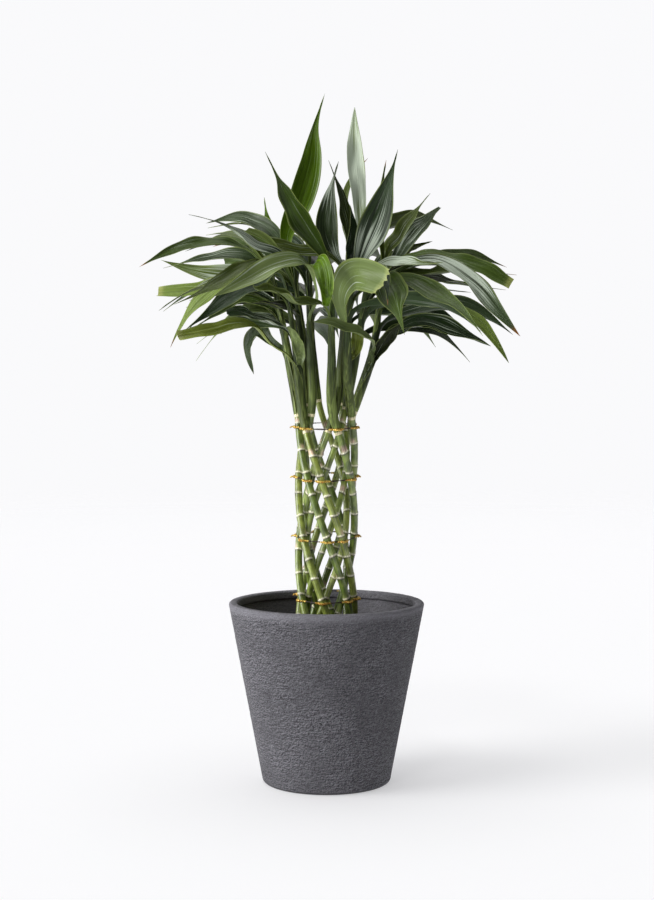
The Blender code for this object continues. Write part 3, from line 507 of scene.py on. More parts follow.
def ring_heights(cane, draw):
    """Heights of the raised rings, clear of the wire ties and of the cane's two ends."""
    height = SOIL_TOP + SOIL_DOME + draw.uniform(0.4, 1.0) * RING_SPACING[0]
    found = []
    while height < cane.joint * CM - RING_SPACING[0] / 3:
        while near_tie(cane, height):
            height += RIDGE_HALF
        found.append(height)
        height += draw.uniform(*RING_SPACING)
    return found


def new_collection(name):
    found = bpy.data.collections.new(name)
    bpy.context.scene.collection.children.link(found)
    return found


def tube(name, points, radii, collection, sides):
    """A tube along points, as a curve with a bevel, whose radius is given at each point."""
    curve = bpy.data.curves.new(name, "CURVE")
    curve.dimensions = "3D"
    curve.bevel_depth = 1.0
    curve.bevel_resolution = (sides - 4) // 2
    curve.use_fill_caps = True
    spline = curve.splines.new("POLY")
    spline.points.add(len(points) - 1)
    for bead, point, radius in zip(spline.points, points, radii):
        bead.co = (*point, 1)
        bead.radius = radius
    piece = bpy.data.objects.new(name, curve)
    collection.objects.link(piece)
    return piece


def as_mesh(piece):
    """The piece's evaluated mesh in a new object that takes its place, with its doubles merged."""
    name, collection = piece.name, piece.users_collection[0]
    bpy.context.view_layer.update()
    graph = bpy.context.evaluated_depsgraph_get()
    mesh = bpy.data.meshes.new_from_object(piece.evaluated_get(graph))
    mesh.transform(piece.matrix_world)
    bpy.data.objects.remove(piece)
    shape = bmesh.new()
    shape.from_mesh(mesh)
    bmesh.ops.remove_doubles(shape, verts=shape.verts, dist=SAME_PLACE / 10)
    shape.to_mesh(mesh)
    shape.free()
    made = bpy.data.objects.new(name, mesh)
    collection.objects.link(made)
    return made


def arc(centre, radius, start, end, steps):
    """Points round a centre in a profile, between two angles in degrees."""
    angles = [math.radians(start + (end - start) * step / steps) for step in range(steps + 1)]
    return [(centre[0] + radius * math.cos(a), centre[1] + radius * math.sin(a)) for a in angles]


def outer_wall(height):
    """The pot's outer radius at a height."""
    return FOOT_RADIUS + (RIM_RADIUS - FOOT_RADIUS) * height / POT_HEIGHT


def tie_points(canes, middle):
    """A closed wire round the tower that hugs the outer half of each outer cane."""
    route = []
    reach = OUTER_CANE + TIE_CLEARANCE + WIRE
    for cane in sorted((c for c in canes if c.outer), key=lambda c: c.bearing):
        centre = cane_point(cane, middle)
        for _ in range(TIE_ROUNDS):
            centre = cane_point(cane, tie_height(middle, centre))
        outward = Vector((centre.x, centre.y, 0)).normalized()
        along = Vector((-outward.y, outward.x, 0))
        lean = 1 / cane_direction(cane, middle).z
        for angle in TIE_ANGLES:
            turn = math.radians(angle)
            point = centre + outward * reach * math.cos(turn) + along * reach * lean * math.sin(turn)
            point.z = tie_height(middle, point)
            route.append(point)
    return route


def leaf_spine(cane, leaf):
    """Evenly spaced points along a blade's middle, from inside its cane to its tip."""
    knots = [cane_point(cane, leaf.root * CM)] + [Vector(point) * CM for point in leaf.path]
    chords = [(b - a).length for a, b in zip(knots, knots[1:])]
    slopes = [cane_direction(cane, leaf.root * CM)]
    for before, here, after, low, high in zip(knots, knots[1:], knots[2:], chords, chords[1:]):
        slopes.append(((here - before) / low * high + (after - here) / high * low) / (low + high))
    slopes.append((knots[-1] - knots[-2]) / chords[-1] * 1.5 - slopes[-1] * 0.5)
    curve = [knots[0]]
    for start, end, low, high, span in zip(knots, knots[1:], slopes, slopes[1:], chords):
        for step in range(1, CURVE_STEPS + 1):
            curve.append(hermite(start, end, low * span, high * span, step / CURVE_STEPS))
    return evenly(curve, SPINE_STEPS)


def evenly(curve, steps):
    """The same curve as points at even distances along it."""
    lengths = [(b - a).length for a, b in zip(curve, curve[1:])]
    pace = sum(lengths) / steps
    found, wanted, passed = [curve[0]], pace, 0.0
    for start, end, length in zip(curve, curve[1:], lengths):
        while len(found) < steps and passed + length >= wanted:
            found.append(start.lerp(end, (wanted - passed) / length))
            wanted += pace
        passed += length
    return found + [curve[-1]]


def blade_width(leaf, share):
    """The blade's width at a share of its length: a narrow stalk, a broad middle and a long point."""
    share *= leaf.trim
    stalk = STALK_WIDTH * (1 - smooth((share - NECK / 2) / STALK_END))
    body = max(0.0, (share - NECK) / (1 - NECK))
    tip_power = BLADE_POWER * (1 - leaf.widest) / leaf.widest
    lance = (body / leaf.widest) ** BLADE_POWER * (max(0.0, 1 - body) / (1 - leaf.widest)) ** tip_power
    return stalk + leaf.width * CM * lance


def blade_frames(cane, leaf):
    """(point, side, upward) along the blade, turned as little as the spine's bends allow."""
    points = leaf_spine(cane, leaf)
    ends = [points[0], *points, points[-1]]
    tangents = [(b - a).normalized() for a, b in zip(ends, ends[2:])]
    half = SPINE_STEPS // 2
    lift = math.radians(leaf.faces[1])
    upper = at_bearing(leaf.faces[0], math.cos(lift), math.sin(lift))
    sides = {half: tangents[half].cross(upper).normalized()}
    for step in (1, -1):
        here = half
        while 0 <= here + step <= SPINE_STEPS:
            bend = tangents[here].rotation_difference(tangents[here + step]).to_matrix()
            twist = Matrix.Rotation(math.radians(leaf.twist * step / SPINE_STEPS), 3, tangents[here])
            side = bend @ twist @ sides[here]
            here += step
            sides[here] = (side - tangents[here] * side.dot(tangents[here])).normalized()
    return [(points[i], sides[i], sides[i].cross(tangents[i])) for i in range(SPINE_STEPS + 1)]


def blade_shape(cane, leaf, thickness):
    """A closed thin blade as a bmesh: a grid bent along the spine, folded a little and thickened."""
    frames = blade_frames(cane, leaf)
    rows = max(FEWEST_ROWS, len(leaf.path) + 1)
    shape = bmesh.new()
    bmesh.ops.create_grid(shape, x_segments=2, y_segments=rows, size=1)
    for corner in shape.verts:
        station = round(round((corner.co.y + 1) / 2 * rows) * SPINE_STEPS / rows)
        across = corner.co.x
        point, side, upward = frames[station]
        share = station / SPINE_STEPS
        half = blade_width(leaf, share) / 2
        fold = half * abs(across) * (BLADE_FOLD + STALK_FOLD * (1 - smooth(share / FOLD_END)))
        corner.co = point + side * across * half + upward * (fold - thickness / 2)
    bmesh.ops.remove_doubles(shape, verts=shape.verts, dist=SAME_PLACE)
    bmesh.ops.triangulate(shape, faces=shape.faces)
    bmesh.ops.recalc_face_normals(shape, faces=shape.faces)
    bmesh.ops.solidify(shape, geom=shape.faces[:], thickness=thickness)
    bmesh.ops.recalc_face_normals(shape, faces=shape.faces)
    return shape


def faces_of(shape):
    """The corners and the faces of a bmesh as lists."""
    shape.verts.index_update()
    corners = [corner.co.copy() for corner in shape.verts]
    return corners, [[corner.index for corner in face.verts] for face in shape.faces]


def blade_only(corners, faces, root):
    """The faces that lie further from the root than the stretch that may meet its own stem."""
    reach = max((corner - root).length for corner in corners) * ROOT_SHARE + OUTER_CANE
    return [face for face in faces if all((corners[i] - root).length > reach for i in face)]


def stem_stops(cane):
    """(points, radii) up a leafy top's stem, which its leaf sheaths thicken."""
    start, end = cane.joint * CM + JOINT_GAP, cane.top[2] * CM
    heights = [start, start + JOINT_LENGTH]
    heights += [start + (end - start) * share for share in STEM_SHARES]
    radii = [cane_radius(cane) + SHEATH * share for share in STEM_SWELL]
    return [cane_point(cane, height) for height in heights], radii


class Crowd:
    """What has been placed so far, by cane, as loose faces to test against."""

    def __init__(self):
        self.whole = {}
        self.blades = {}

    def add(self, name, corners, faces, blades):
        self.whole.setdefault(name, []).append((corners, faces))
        self.blades.setdefault(name, []).append((corners, blades))

    def tree(self, groups):
        corners, faces = [], []
        for group_corners, group_faces in groups:
            start = len(corners)
            corners += group_corners
            faces += [[i + start for i in face] for face in group_faces]
        return BVHTree.FromPolygons(corners, faces) if faces else None

    def tests(self, name):
        others = [group for other, groups in self.whole.items() if other != name for group in groups]
        return self.tree(others), self.tree(self.blades.get(name, []))


def swung(cane, leaf, aside, up):
    """The leaf turned about its root: aside round the vertical, and up from the level."""
    root = cane_point(cane, leaf.root * CM) / CM
    heading = Vector(leaf.path[-1]) - root
    level = Vector((heading.x, heading.y, 0)).cross(UP)
    turn = Matrix.Rotation(math.radians(aside), 3, "Z") @ Matrix.Rotation(math.radians(up), 3, level)
    return replace(leaf, path=tuple(tuple(root + turn @ (Vector(point) - root)) for point in leaf.path))


def swings():
    """(aside, up) angles to try, nearest to the wanted place first."""
    yield 0, 0
    for ring in range(1, SWING_RINGS + 1):
        for step in range(8):
            turn = math.radians(45 * step + 22.5 * (ring % 2))
            yield SWING_STEP * ring * math.cos(turn), SWING_STEP * ring * math.sin(turn)


def settle(cane, leaf, crowd):
    """The leaf at the first swing that leaves it clear of everything but its own stem, or None."""
    others, own = crowd.tests(cane.name)
    root = cane_point(cane, leaf.root * CM)
    for aside, up in swings():
        tried = swung(cane, leaf, aside, up)
        shape = blade_shape(cane, tried, SOLVE_THICKNESS)
        corners, faces = faces_of(shape)
        shape.free()
        blades = blade_only(corners, faces, root)
        if others and BVHTree.FromPolygons(corners, faces).overlap(others):
            continue
        if own and BVHTree.FromPolygons(corners, blades).overlap(own):
            continue
        return tried, (corners, faces, blades)
    return None, None


def more_leaves(cane, draw):
    """Leaves spiralling up a cane: the low ones level, the high ones shorter and steeper."""
    count, low_bearing, high_bearing = MORE_LEAVES[cane.name]
    made = []
    for step in range(count):
        share = (step + 0.5) / count
        golden = (step * GOLDEN + draw.uniform(0.0, 0.2)) % 1
        bearing = low_bearing + (high_bearing - low_bearing) * golden
        root_height = cane.top[2] - CROWN_TIP - (1 - share) * CROWN_DEPTH
        root = cane_point(cane, root_height * CM) / CM
        length = draw.uniform(*LENGTHS)
        steepest = SIDE_SLOPE + BACK_SLOPE * abs(math.cos(math.radians(bearing)))
        slope = math.radians(LOWEST_SLOPE + steepest * share**1.5 + draw.uniform(-5, 5))
        outward = at_bearing(bearing, 1, 0)
        chord = outward * math.cos(slope) + UP * math.sin(slope)
        lift = UP * math.cos(slope) - outward * math.sin(slope)
        arch = length * draw.uniform(*ARCHES)
        path = [root + chord * length * s + lift * arch * 4 * s * (1 - s) for s in ARCH_SHARES]
        bank, hand = draw.uniform(*BANKS), draw.choice((-90, 90))
        width = draw.uniform(*WIDTHS)
        faces = (bearing + hand, 90 - bank)
        made.append(Leaf(cane.name, root_height, tuple(map(tuple, path)), width, faces))
    return made


def placed_leaves():
    """Every leaf with its number, in its settled place, by cane: the front ones first."""
    draw = random.Random(SEED)
    by_name = {cane.name: cane for cane in CANES}
    crowd = Crowd()
    guides = new_collection("guides")
    for cane in CANES:
        points, radii = stem_stops(cane)
        stem = as_mesh(tube("stem_" + cane.name, points, [r + MM for r in radii], guides, STEM_SIDES))
        corners = [corner.co.copy() for corner in stem.data.vertices]
        crowd.add(cane.name, corners, [list(face.vertices) for face in stem.data.polygons], [])
        bpy.data.objects.remove(stem)
    bpy.data.collections.remove(guides)
    wanted = list(FRONT_LEAVES)
    for name in MORE_LEAVES:
        wanted += more_leaves(by_name[name], draw)
    found = {cane.name: [] for cane in CANES}
    for number, leaf in enumerate(wanted):
        settled, shape = settle(by_name[leaf.cane], leaf, crowd)
        if settled:
            crowd.add(leaf.cane, *shape)
            found[leaf.cane].append((number, settled))
    return found


class Socket:
    """A socket in a material's nodes. Arithmetic on it adds Math nodes."""

    def __init__(self, paint, socket):
        self.paint = paint
        self.socket = socket

    def math(self, operation, first, second):
        return self.paint.node("ShaderNodeMath", {"operation": operation}, {0: first, 1: second})

    def __add__(self, other):
        return self.math("ADD", self, other)

    def __mul__(self, other):
        return self.math("MULTIPLY", self, other)

    def __sub__(self, other):
        return self.math("SUBTRACT", self, other)

    def __rsub__(self, other):
        return self.math("SUBTRACT", other, self)

    __radd__ = __add__
    __rmul__ = __mul__

    def held(self):
        """The same value kept between 0 and 1."""
        return self.paint.node("ShaderNodeClamp", {}, {"Value": self})

    def ramp(self, low, high, start=0.0, end=1.0):
        """This value eased so that low gives start and high gives end, and kept between them."""
        bounds = {"Value": self, "From Min": low, "From Max": high, "To Min": start, "To Max": end}
        return self.paint.node("ShaderNodeMapRange", {"interpolation_type": "SMOOTHSTEP"}, bounds)


class Finish:
    """A material that is made of a few nodes round one Principled shader."""

    def __init__(self, name, **inputs):
        self.material = bpy.data.materials.new(name)
        self.material.use_nodes = True
        self.nodes = self.material.node_tree.nodes
        self.links = self.material.node_tree.links
        self.shader = self.nodes["Principled BSDF"]
        self.set(self.shader, {key.replace("_", " "): value for key, value in inputs.items()})

    def set(self, node, inputs):
        for key, value in inputs.items():
            if isinstance(value, Socket):
                self.links.new(value.socket, node.inputs[key])
            else:
                node.inputs[key].default_value = value

    def node(self, kind, settings, inputs, output=0):
        """A new node with its settings, then its inputs, as the Socket of one of its outputs."""
        made = self.nodes.new(kind)
        for key, value in settings.items():
            setattr(made, key, value)
        self.set(made, inputs)
        return Socket(self, made.outputs[output])

    def place(self, stretch=(1, 1, 1), lift=0.0):
        """The surface's own place in the object, stretched, or a place higher and to the left."""
        here = self.node("ShaderNodeTexCoord", {}, {}, "Object")
        raised = (-0.6 * lift, 0, lift * stretch[2])
        return self.node("ShaderNodeMapping", {}, {"Vector": here, "Scale": stretch, "Location": raised})

    def along(self, stretch):
        """The surface's own UV map, stretched."""
        here = self.node("ShaderNodeUVMap", {}, {})
        return self.node("ShaderNodeMapping", {}, {"Vector": here, "Scale": stretch})

    def grain(self, where, size, detail=3.0, rough=0.55):
        """Noise with so many grains to a metre, or to the whole width of a UV map."""
        inputs = {"Vector": where, "Scale": size, "Detail": detail, "Roughness": rough}
        return self.node("ShaderNodeTexNoise", {}, inputs, "Fac")

    def painted(self, name, output="Fac"):
        """A value or a colour that the mesh itself carries."""
        return self.node("ShaderNodeAttribute", {"attribute_name": name}, {}, output)

    def blend(self, share, first, second):
        """The first colour, with a share of the second mixed in."""
        return self.node("ShaderNodeMix", {"data_type": "RGBA"}, {"Factor": share, 6: first, 7: second}, 2)

    def scaled(self, tone, share):
        """A colour made lighter or darker."""
        return self.node("ShaderNodeVectorMath", {"operation": "SCALE"}, {0: tone, "Scale": share})

    def bump(self, height, strength, distance):
        inputs = {"Height": height, "Strength": strength, "Distance": distance}
        self.set(self.shader, {"Normal": self.node("ShaderNodeBump", {}, inputs)})


def colour(red, green, blue):
    """A colour as the screen shows it, from 0 to 255, in the linear values that shaders take."""
    linear = []
    for part in (red, green, blue):
        part /= 255
        linear.append(part / 12.92 if part <= 0.04045 else ((part + 0.055) / 1.055) ** 2.4)
    return (*linear, 1.0)


def pot_relief(paint, lift=0.0):
    """The height of the pot's broken horizontal strokes and grit, here or a little higher up, whose
    difference gives their edges painted light and shade.
    """
    streaks = paint.grain(paint.place((1, 1, 5), lift), 85, 4, 0.7)
    strokes = paint.grain(paint.place((1, 1, 1.5), lift), 230, 3, 0.7)
    grit = paint.grain(paint.place((1, 1, 1.1), lift), 460, 3, 0.7)
    return streaks * 0.65 + strokes * 0.65 + grit * 0.9


def pot_finish():
    paint = Finish("pot_stucco", Roughness=0.8)
    relief_strength = paint.painted("rough")
    patches = paint.grain(paint.place(), 16, 3)
    height = pot_relief(paint)
    # painted light and shade: the relief compared with itself a little higher and to the left, so the
    # strokes' edges are drawn lit and shaded as by a lamp above
    painted_edge_light = (height - pot_relief(paint, POT_PAINTED_LIGHT_OFFSET)) * patches.ramp(0.36, 0.62, 0.35, 1.1)
    tone = (height * 0.33 + painted_edge_light * 0.9 + patches * 0.2).ramp(0.28, 0.735)
    # where the relief is weak, on the rim, inside and at the foot, the tone is pulled paler: painted light on
    # the rim's top
    body = paint.blend((tone - 0.72) * relief_strength + 0.72, POT_DARK, POT_PALE)
    dots = paint.grain(paint.place((1, 1, 1.5)), 330, 2, 0.5).ramp(0.57, 0.65) * patches.ramp(0.4, 0.56)
    # the pit attribute holds real pits and the painted contact shadow along the foot
    body = paint.blend((paint.painted("pit") * 0.5 + dots * relief_strength * 0.65).held(), body, POT_PIT_AND_SHADOW)
    flecks = paint.grain(paint.place(), 520, 2, 0.5).ramp(0.74, 0.79) * 0.6
    paint.set(paint.shader, {"Base Color": paint.blend(flecks, body, POT_FLECK)})
    paint.bump(height * relief_strength, 1.0, 3.2 * MM)
    return paint.material


def soil_finish():
    paint = Finish("potting_soil", Roughness=0.95)
    crumbs = paint.grain(paint.place(), 260, 6, 0.7)
    lumps = paint.grain(paint.place(), 60, 4)
    tone = (crumbs * 0.7 + lumps * 0.4).ramp(0.4, 0.75)
    body = paint.blend(tone, colour(26, 19, 14), colour(82, 62, 46))
    fibres = crumbs.ramp(0.66, 0.74) * 0.5
    paint.set(paint.shader, {"Base Color": paint.blend(fibres, body, colour(120, 98, 74))})
    paint.bump(crumbs, 0.9, 1.2 * MM)
    return paint.material


def cane_finish():
    """Green skin with fine fibres, yellow blotches and a few brown stains, under a thin gloss."""
    paint = Finish("cane_skin", Roughness=0.34, Coat_Weight=0.6, Coat_Roughness=0.14)
    fibres = paint.grain(paint.along((30, 5, 1)), 1.0, 3, 0.6)
    blotches = paint.grain(paint.place((1, 1, 0.5)), 120, 3)
    stains = paint.grain(paint.place((1, 1, 0.6)), 420, 2, 0.5)
    shade = (fibres * 0.65 + blotches * 0.6).ramp(0.47, 0.78, 0.4, 1.5)
    body = paint.scaled(paint.painted("tint", "Color"), shade)
    body = paint.blend(blotches.ramp(0.5, 0.72) * 0.4, body, CANE_YELLOW)
    body = paint.blend(stains.ramp(0.66, 0.76) * 0.6, body, CANE_STAIN)
    paint.set(paint.shader, {"Base Color": body})
    paint.bump(fibres * 0.7 + blotches * 0.5, 0.4, 0.4 * MM)
    return paint.material


def leaf_finish():
    """Green skin with streaks along the blade, fibres on the stalk, and here and there a painted highlight:
    pale silvery streaks in the base colour.
    """
    paint = Finish("leaf_skin", Specular_IOR_Level=0.2)
    veins = paint.grain(paint.along((30, 1.6, 1)), 1.0, 2, 0.6)
    broad = paint.grain(paint.along((13, 1.5, 1)), 1.0, 2, 0.6)
    patches = paint.grain(paint.place(), 20, 2, 0.5)
    vivid, under = paint.painted("vivid"), paint.painted("under")
    shade = (veins * 0.45 + broad * 0.5 + patches * 0.3).ramp(0.45, 0.8, -0.65, 0.65) * vivid + 1.08
    fibres = paint.grain(paint.place((1, 1, 0.06)), 300, 2, 0.6).ramp(0.4, 0.62, -0.42, 0.5)
    shade = shade * (fibres * paint.painted("mark") + 1)
    body = paint.scaled(paint.painted("tint", "Color"), shade)
    body = paint.blend(under * 0.08, body, LEAF_UNDER)
    # painted highlight: pale streaks blended into the base colour, as strong as the tint's alpha
    gleam = paint.painted("tint", "Alpha")
    painted_sheen = (gleam * 0.75 + (veins + broad) * 2.2 - 2.6).ramp(0.0, 0.5)
    body = paint.blend(painted_sheen * 0.8, body, LEAF_PAINTED_SHEEN)
    gloss = 0.32 - painted_sheen * 0.1 + under * 0.12 - patches * 0.1
    paint.set(paint.shader, {"Base Color": body, "Roughness": gloss})
    paint.bump((veins * 0.4 + broad) * (vivid * 0.7 + 0.3), 0.8, 1.8 * MM)
    return paint.material


def tie_finish():
    paint = Finish("tie_foil")
    foil = paint.grain(paint.place(), 700, 2, 0.6)
    gold = paint.painted("mark")
    mask = (gold * 1.5 + foil - 1.0).ramp(-0.1, 0.25)
    # the foil's tone from deep to pale gold: real crinkled foil, with its pale flecks painted glints
    body = paint.blend(foil.ramp(0.4, 0.62), colour(176, 104, 20), colour(255, 232, 120))
    values = {"Base Color": paint.blend(mask, colour(52, 36, 30), body)}
    values["Metallic"] = mask * 0.35
    values["Roughness"] = 0.55 - mask * 0.27
    paint.set(paint.shader, values)
    paint.bump(foil, 0.5, 0.5 * MM)
    return paint.material


def floor_finish():
    """A pale floor that fades out into the backdrop far away."""
    paint = Finish("studio_floor", Roughness=1.0, Specular_IOR_Level=0.0, Base_Color=FLOOR_TONE)
    paint.set(paint.shader, {"Emission Color": GLOW_TONE, "Emission Strength": FLOOR_GLOW})
    far = paint.node("ShaderNodeVectorMath", {"operation": "LENGTH"}, {0: paint.place()}, "Value")
    paint.set(paint.shader, {"Alpha": far.ramp(FLOOR_FADE, FLOOR_RADIUS, 1.0, 0.0)})
    return paint.material


def finished(name, shape, material):
    """The bmesh as an object that is shaded smooth, save across sharp edges."""
    for edge in shape.edges:
        edge.smooth = len(edge.link_faces) == 2 and edge.calc_face_angle(0) < SHARP
    for face in shape.faces:
        face.smooth = True
    mesh = bpy.data.meshes.new(name)
    shape.to_mesh(mesh)
    shape.free()
    mesh.materials.append(material)
    piece = bpy.data.objects.new(name, mesh)
    bpy.context.scene.collection.objects.link(piece)
    return piece


def on_body(piece, node):
    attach(piece, "root")
    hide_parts(node)


class Sheet:
    """A bmesh that grows by grids, each bent to its own form, with what their skins read: a tint,
    with painted shade in places, whose alpha is the strength of a leaf's painted highlight,
    whether it is an under side, how strong its streaks are, and a mark for a leaf's stalk or a
    wire's gold."""

    def __init__(self):
        self.shape = bmesh.new()
        self.uv = self.shape.loops.layers.uv.new("UVMap")
        self.tint = self.shape.verts.layers.float_color.new("tint")
        self.under = self.shape.verts.layers.float.new("under")
        self.mark = self.shape.verts.layers.float.new("mark")
        self.vivid = self.shape.verts.layers.float.new("vivid")

    def grid(self, columns, rows, place, tint=None, grain=0.0):
        """A grid of columns by rows, each corner put at place(column, row) and given its tint.
        Pieces with a different grain number show different parts of the same fibres."""
        made = bmesh.ops.create_grid(self.shape, x_segments=columns, y_segments=rows, size=1, calc_uvs=True)
        for face in {face for corner in made["verts"] for face in corner.link_faces}:
            for loop in face.loops:
                loop[self.uv].uv += Vector((grain * 1.7, grain * 3.3))
        for corner in made["verts"]:
            column = round((corner.co.x + 1) / 2 * columns)
            row = round((corner.co.y + 1) / 2 * rows)
            corner.co = place(column, row)
            if tint:
                corner[self.tint] = tint(column, row)
        return made["verts"]

    def merge(self, corners, distance=1e-5):
        bmesh.ops.remove_doubles(self.shape, verts=corners, dist=distance)


def tube_grid(sheet, path, radii, sides, tint=None):
    """A round tube along a path of (point, side, upward) frames, open at both ends."""

    def place(column, row):
        point, side, upward = path[row]
        turn = 2 * math.pi * column / sides
        return point + (side * math.cos(turn) + upward * math.sin(turn)) * radii[row]

    return sheet.grid(sides, len(path) - 1, place, tint)


def frames_along(points):
    """(point, side, upward) along a path, turned as little as its bends allow."""
    ends = [points[0], *points, points[-1]]
    tangents = [(b - a).normalized() for a, b in zip(ends, ends[2:])]
    side = tangents[0].orthogonal().normalized()
    found = []
    before = tangents[0]
    for point, tangent in zip(points, tangents):
        side = before.rotation_difference(tangent).to_matrix() @ side
        side = (side - tangent * side.dot(tangent)).normalized()
        found.append((point, side, side.cross(tangent)))
        before = tangent
    return found


def capped(sheet, corners):
    """Closes the open ends of what these corners belong to."""
    rims = [edge for edge in {e for v in corners if v.is_valid for e in v.link_edges} if edge.is_boundary]
    bmesh.ops.holes_fill(sheet.shape, edges=rims)


def spun(profile, steps):
    """A profile of (radius, height) points turned full round the pot's axis, facing outwards."""
    shape = bmesh.new()
    corners = [shape.verts.new((radius, 0, height)) for radius, height in profile]
    for first, second in zip(corners, corners[1:]):
        shape.edges.new((first, second))
    geometry = shape.verts[:] + shape.edges[:]
    turn = 2 * math.pi
    bmesh.ops.spin(shape, geom=geometry, axis=UP, cent=(0, 0, 0), steps=steps, angle=turn, use_merge=True)
    bmesh.ops.remove_doubles(shape, verts=shape.verts, dist=1e-5)
    bmesh.ops.recalc_face_normals(shape, faces=shape.faces)
    return shape


def divided(profile, pace):
    """The same profile with more points, at most a pace apart."""
    found = [profile[0]]
    for (low_r, low_z), (high_r, high_z) in zip(profile, profile[1:]):
        parts = max(1, math.ceil(math.hypot(high_r - low_r, high_z - low_z) / pace))
        for step in range(1, parts + 1):
            share = step / parts
            found.append((low_r + (high_r - low_r) * share, low_z + (high_z - low_z) * share))
    return found


def stucco(point):
    """How far the pot's rough skin stands proud, and how deep it is pitted, at a point."""
    combed, broken = noise.noise(point * COMBED_GRAIN), noise.noise(point * BROKEN_GRAIN)
    relief_strength = 0.65 + 0.5 * noise.noise(point * 16)
    hollow = noise.noise(point * PITTED_GRAIN + Vector((3, 7, 1)))
    pit = smooth((hollow - 0.22) / 0.3) * smooth(relief_strength)
    return (combed * COMBED_DEPTH + broken * BROKEN_DEPTH) * relief_strength - pit * PIT_DEPTH, pit


def pot_profile():
    """(radius, height) points from the middle of the floor, over the rim, to the middle of the foot."""
    inner_rim = RIM_RADIUS - RIM_WIDTH
    top = POT_HEIGHT - RIM_ROUNDING
    lip = POT_HEIGHT - LIP_DEPTH
    corner = (outer_wall(FLOOR) - WALL, FLOOR)
    hidden = (outer_wall(SOIL_TOP) - WALL, SOIL_TOP - 1.5 * CM)
    under_lip = (inner_rim + LIP_STEP, lip - LIP_STEP)
    wall = divided([hidden, under_lip], INSIDE_PACE)[1:]
    lips = arc((inner_rim + LIP_ROUNDING, lip), LIP_ROUNDING, 250, 180, 5)
    rim = divided([lips[-1], (inner_rim, top)], POT_PACE)[1:-1]
    rim += arc((inner_rim + RIM_ROUNDING, top), RIM_ROUNDING, 180, 90, 7)
    outer = arc((outer_wall(top) - RIM_ROUNDING, top), RIM_ROUNDING, 90, 0, 7)
    flat = divided([rim[-1], outer[0]], POT_PACE)[1:-1]
    foot = arc((outer_wall(FOOT_ROUNDING) - FOOT_ROUNDING, FOOT_ROUNDING), FOOT_ROUNDING, 0, -90, 8)
    face = divided([outer[-1], foot[0]], POT_PACE)[1:-1]
    return [(0, FLOOR), corner, hidden] + wall + lips + rim + flat + outer + face + foot + [(0, 0)]


def dress_pot(material):
    """The pot with its stucco in relief: full on its outer face, weaker on the rim and inside."""
    shape = spun(pot_profile(), POT_STEPS)
    pit_and_foot_shadow = shape.verts.layers.float.new("pit")
    rough = shape.verts.layers.float.new("rough")
    for corner in shape.verts:
        height = corner.co.z
        radius = math.hypot(corner.co.x, corner.co.y)
        strength = INSIDE_ROUGH
        if radius > outer_wall(height) - 2 * MM:
            below_rim = smooth((POT_HEIGHT - 4 * MM - height) / (12 * MM))
            strength = (RIM_ROUGH + (1 - RIM_ROUGH) * below_rim) * smooth(height / (5 * MM))
            # painted shadow: the lowest few millimetres of the outer face marked dark as a contact shadow
            corner[pit_and_foot_shadow] = 2 - 2 * smooth((height - 1.5 * MM) / (3 * MM))
        corner[rough] = strength
        if radius < RIM_RADIUS - RIM_WIDTH - 2 * CM:
            continue
        proud, pit = stucco(corner.co)
        corner.co += corner.normal * proud * strength
        corner[pit_and_foot_shadow] += pit * strength
    piece = finished("pot_body", shape, material)
    on_body(piece, "pot")


def soil_level(share):
    """The height of the domed soil at a share of its radius."""
    return SOIL_TOP + SOIL_DOME * (1 - share * share)


def soil_swell(place):
    return noise.noise(place * 34) * 2.4 * MM


def dress_soil(material):
    """Lumpy soil with a small mound round each cane, and loose crumbs on it."""
    draw = random.Random(SEED)
    reach = outer_wall(SOIL_TOP) - WALL - SOIL_CLEARANCE
    profile = [(0, SOIL_TOP - 2 * CM), (reach - MM, SOIL_TOP - 2 * CM)]
    for step in range(SOIL_RINGS + 1):
        share = 1 - step / SOIL_RINGS
        profile.append((reach * share, soil_level(share)))
    shape = spun(profile, SOIL_STEPS)
    feet = [cane_point(cane, SOIL_TOP + SOIL_DOME) for cane in CANES]
    for corner in shape.verts:
        if corner.co.z < SOIL_TOP - CM:
            continue
        place = corner.co.copy()
        lumps = noise.fractal(place * 110, 1.0, 2.0, 4) * 2.2 * MM + soil_swell(place)
        near = min((foot.xy - place.xy).length for foot in feet)
        corner.co.z += lumps + SOIL_MOUND * (1 - smooth(near / (14 * MM)))
    for _ in range(CRUMBS):
        radius, bearing = reach * math.sqrt(draw.random()) * 0.97, draw.uniform(0, 360)
        size = draw.uniform(1.2, 3.6) * MM
        place = at_bearing(bearing, radius, 0)
        place.z = soil_level(radius / reach) + soil_swell(place) + size * 0.3
        turn = Matrix.Rotation(draw.uniform(0, 6), 4, Vector((draw.random(), draw.random(), 1)).normalized())
        flat = Matrix.Diagonal((draw.uniform(0.7, 1.9), draw.uniform(0.6, 1.2), draw.uniform(0.35, 0.9), 1))
        matrix = Matrix.Translation(place) @ turn @ flat
        crumb = bmesh.ops.create_icosphere(shape, subdivisions=1, radius=size, matrix=matrix)
        for corner in crumb["verts"]:
            corner.co += Vector((draw.uniform(-1, 1), draw.uniform(-1, 1), draw.uniform(-1, 1))) * size * 0.16
    piece = finished("soil_bed", shape, material)
    on_body(piece, "soil")


def cane_rows(cane, rings):
    """The heights of a cane's cross-sections, close together at each ring."""
    start, end = SOIL_TOP - 6 * MM, cane.joint * CM
    rows = {start, end}
    height = start
    while height < end:
        rows.add(height)
        height += CANE_PACE
    for ring in rings:
        rows = {row for row in rows if abs(row - ring) > RING_REACH}
        rows |= {ring + step * MM for step in RING_ROWS}
    return sorted(row for row in rows if start <= row <= end)


def bell(offset, reach):
    """1 at no offset, and falling to nothing on both sides of it."""
    return math.exp(-((offset / reach) ** 2))


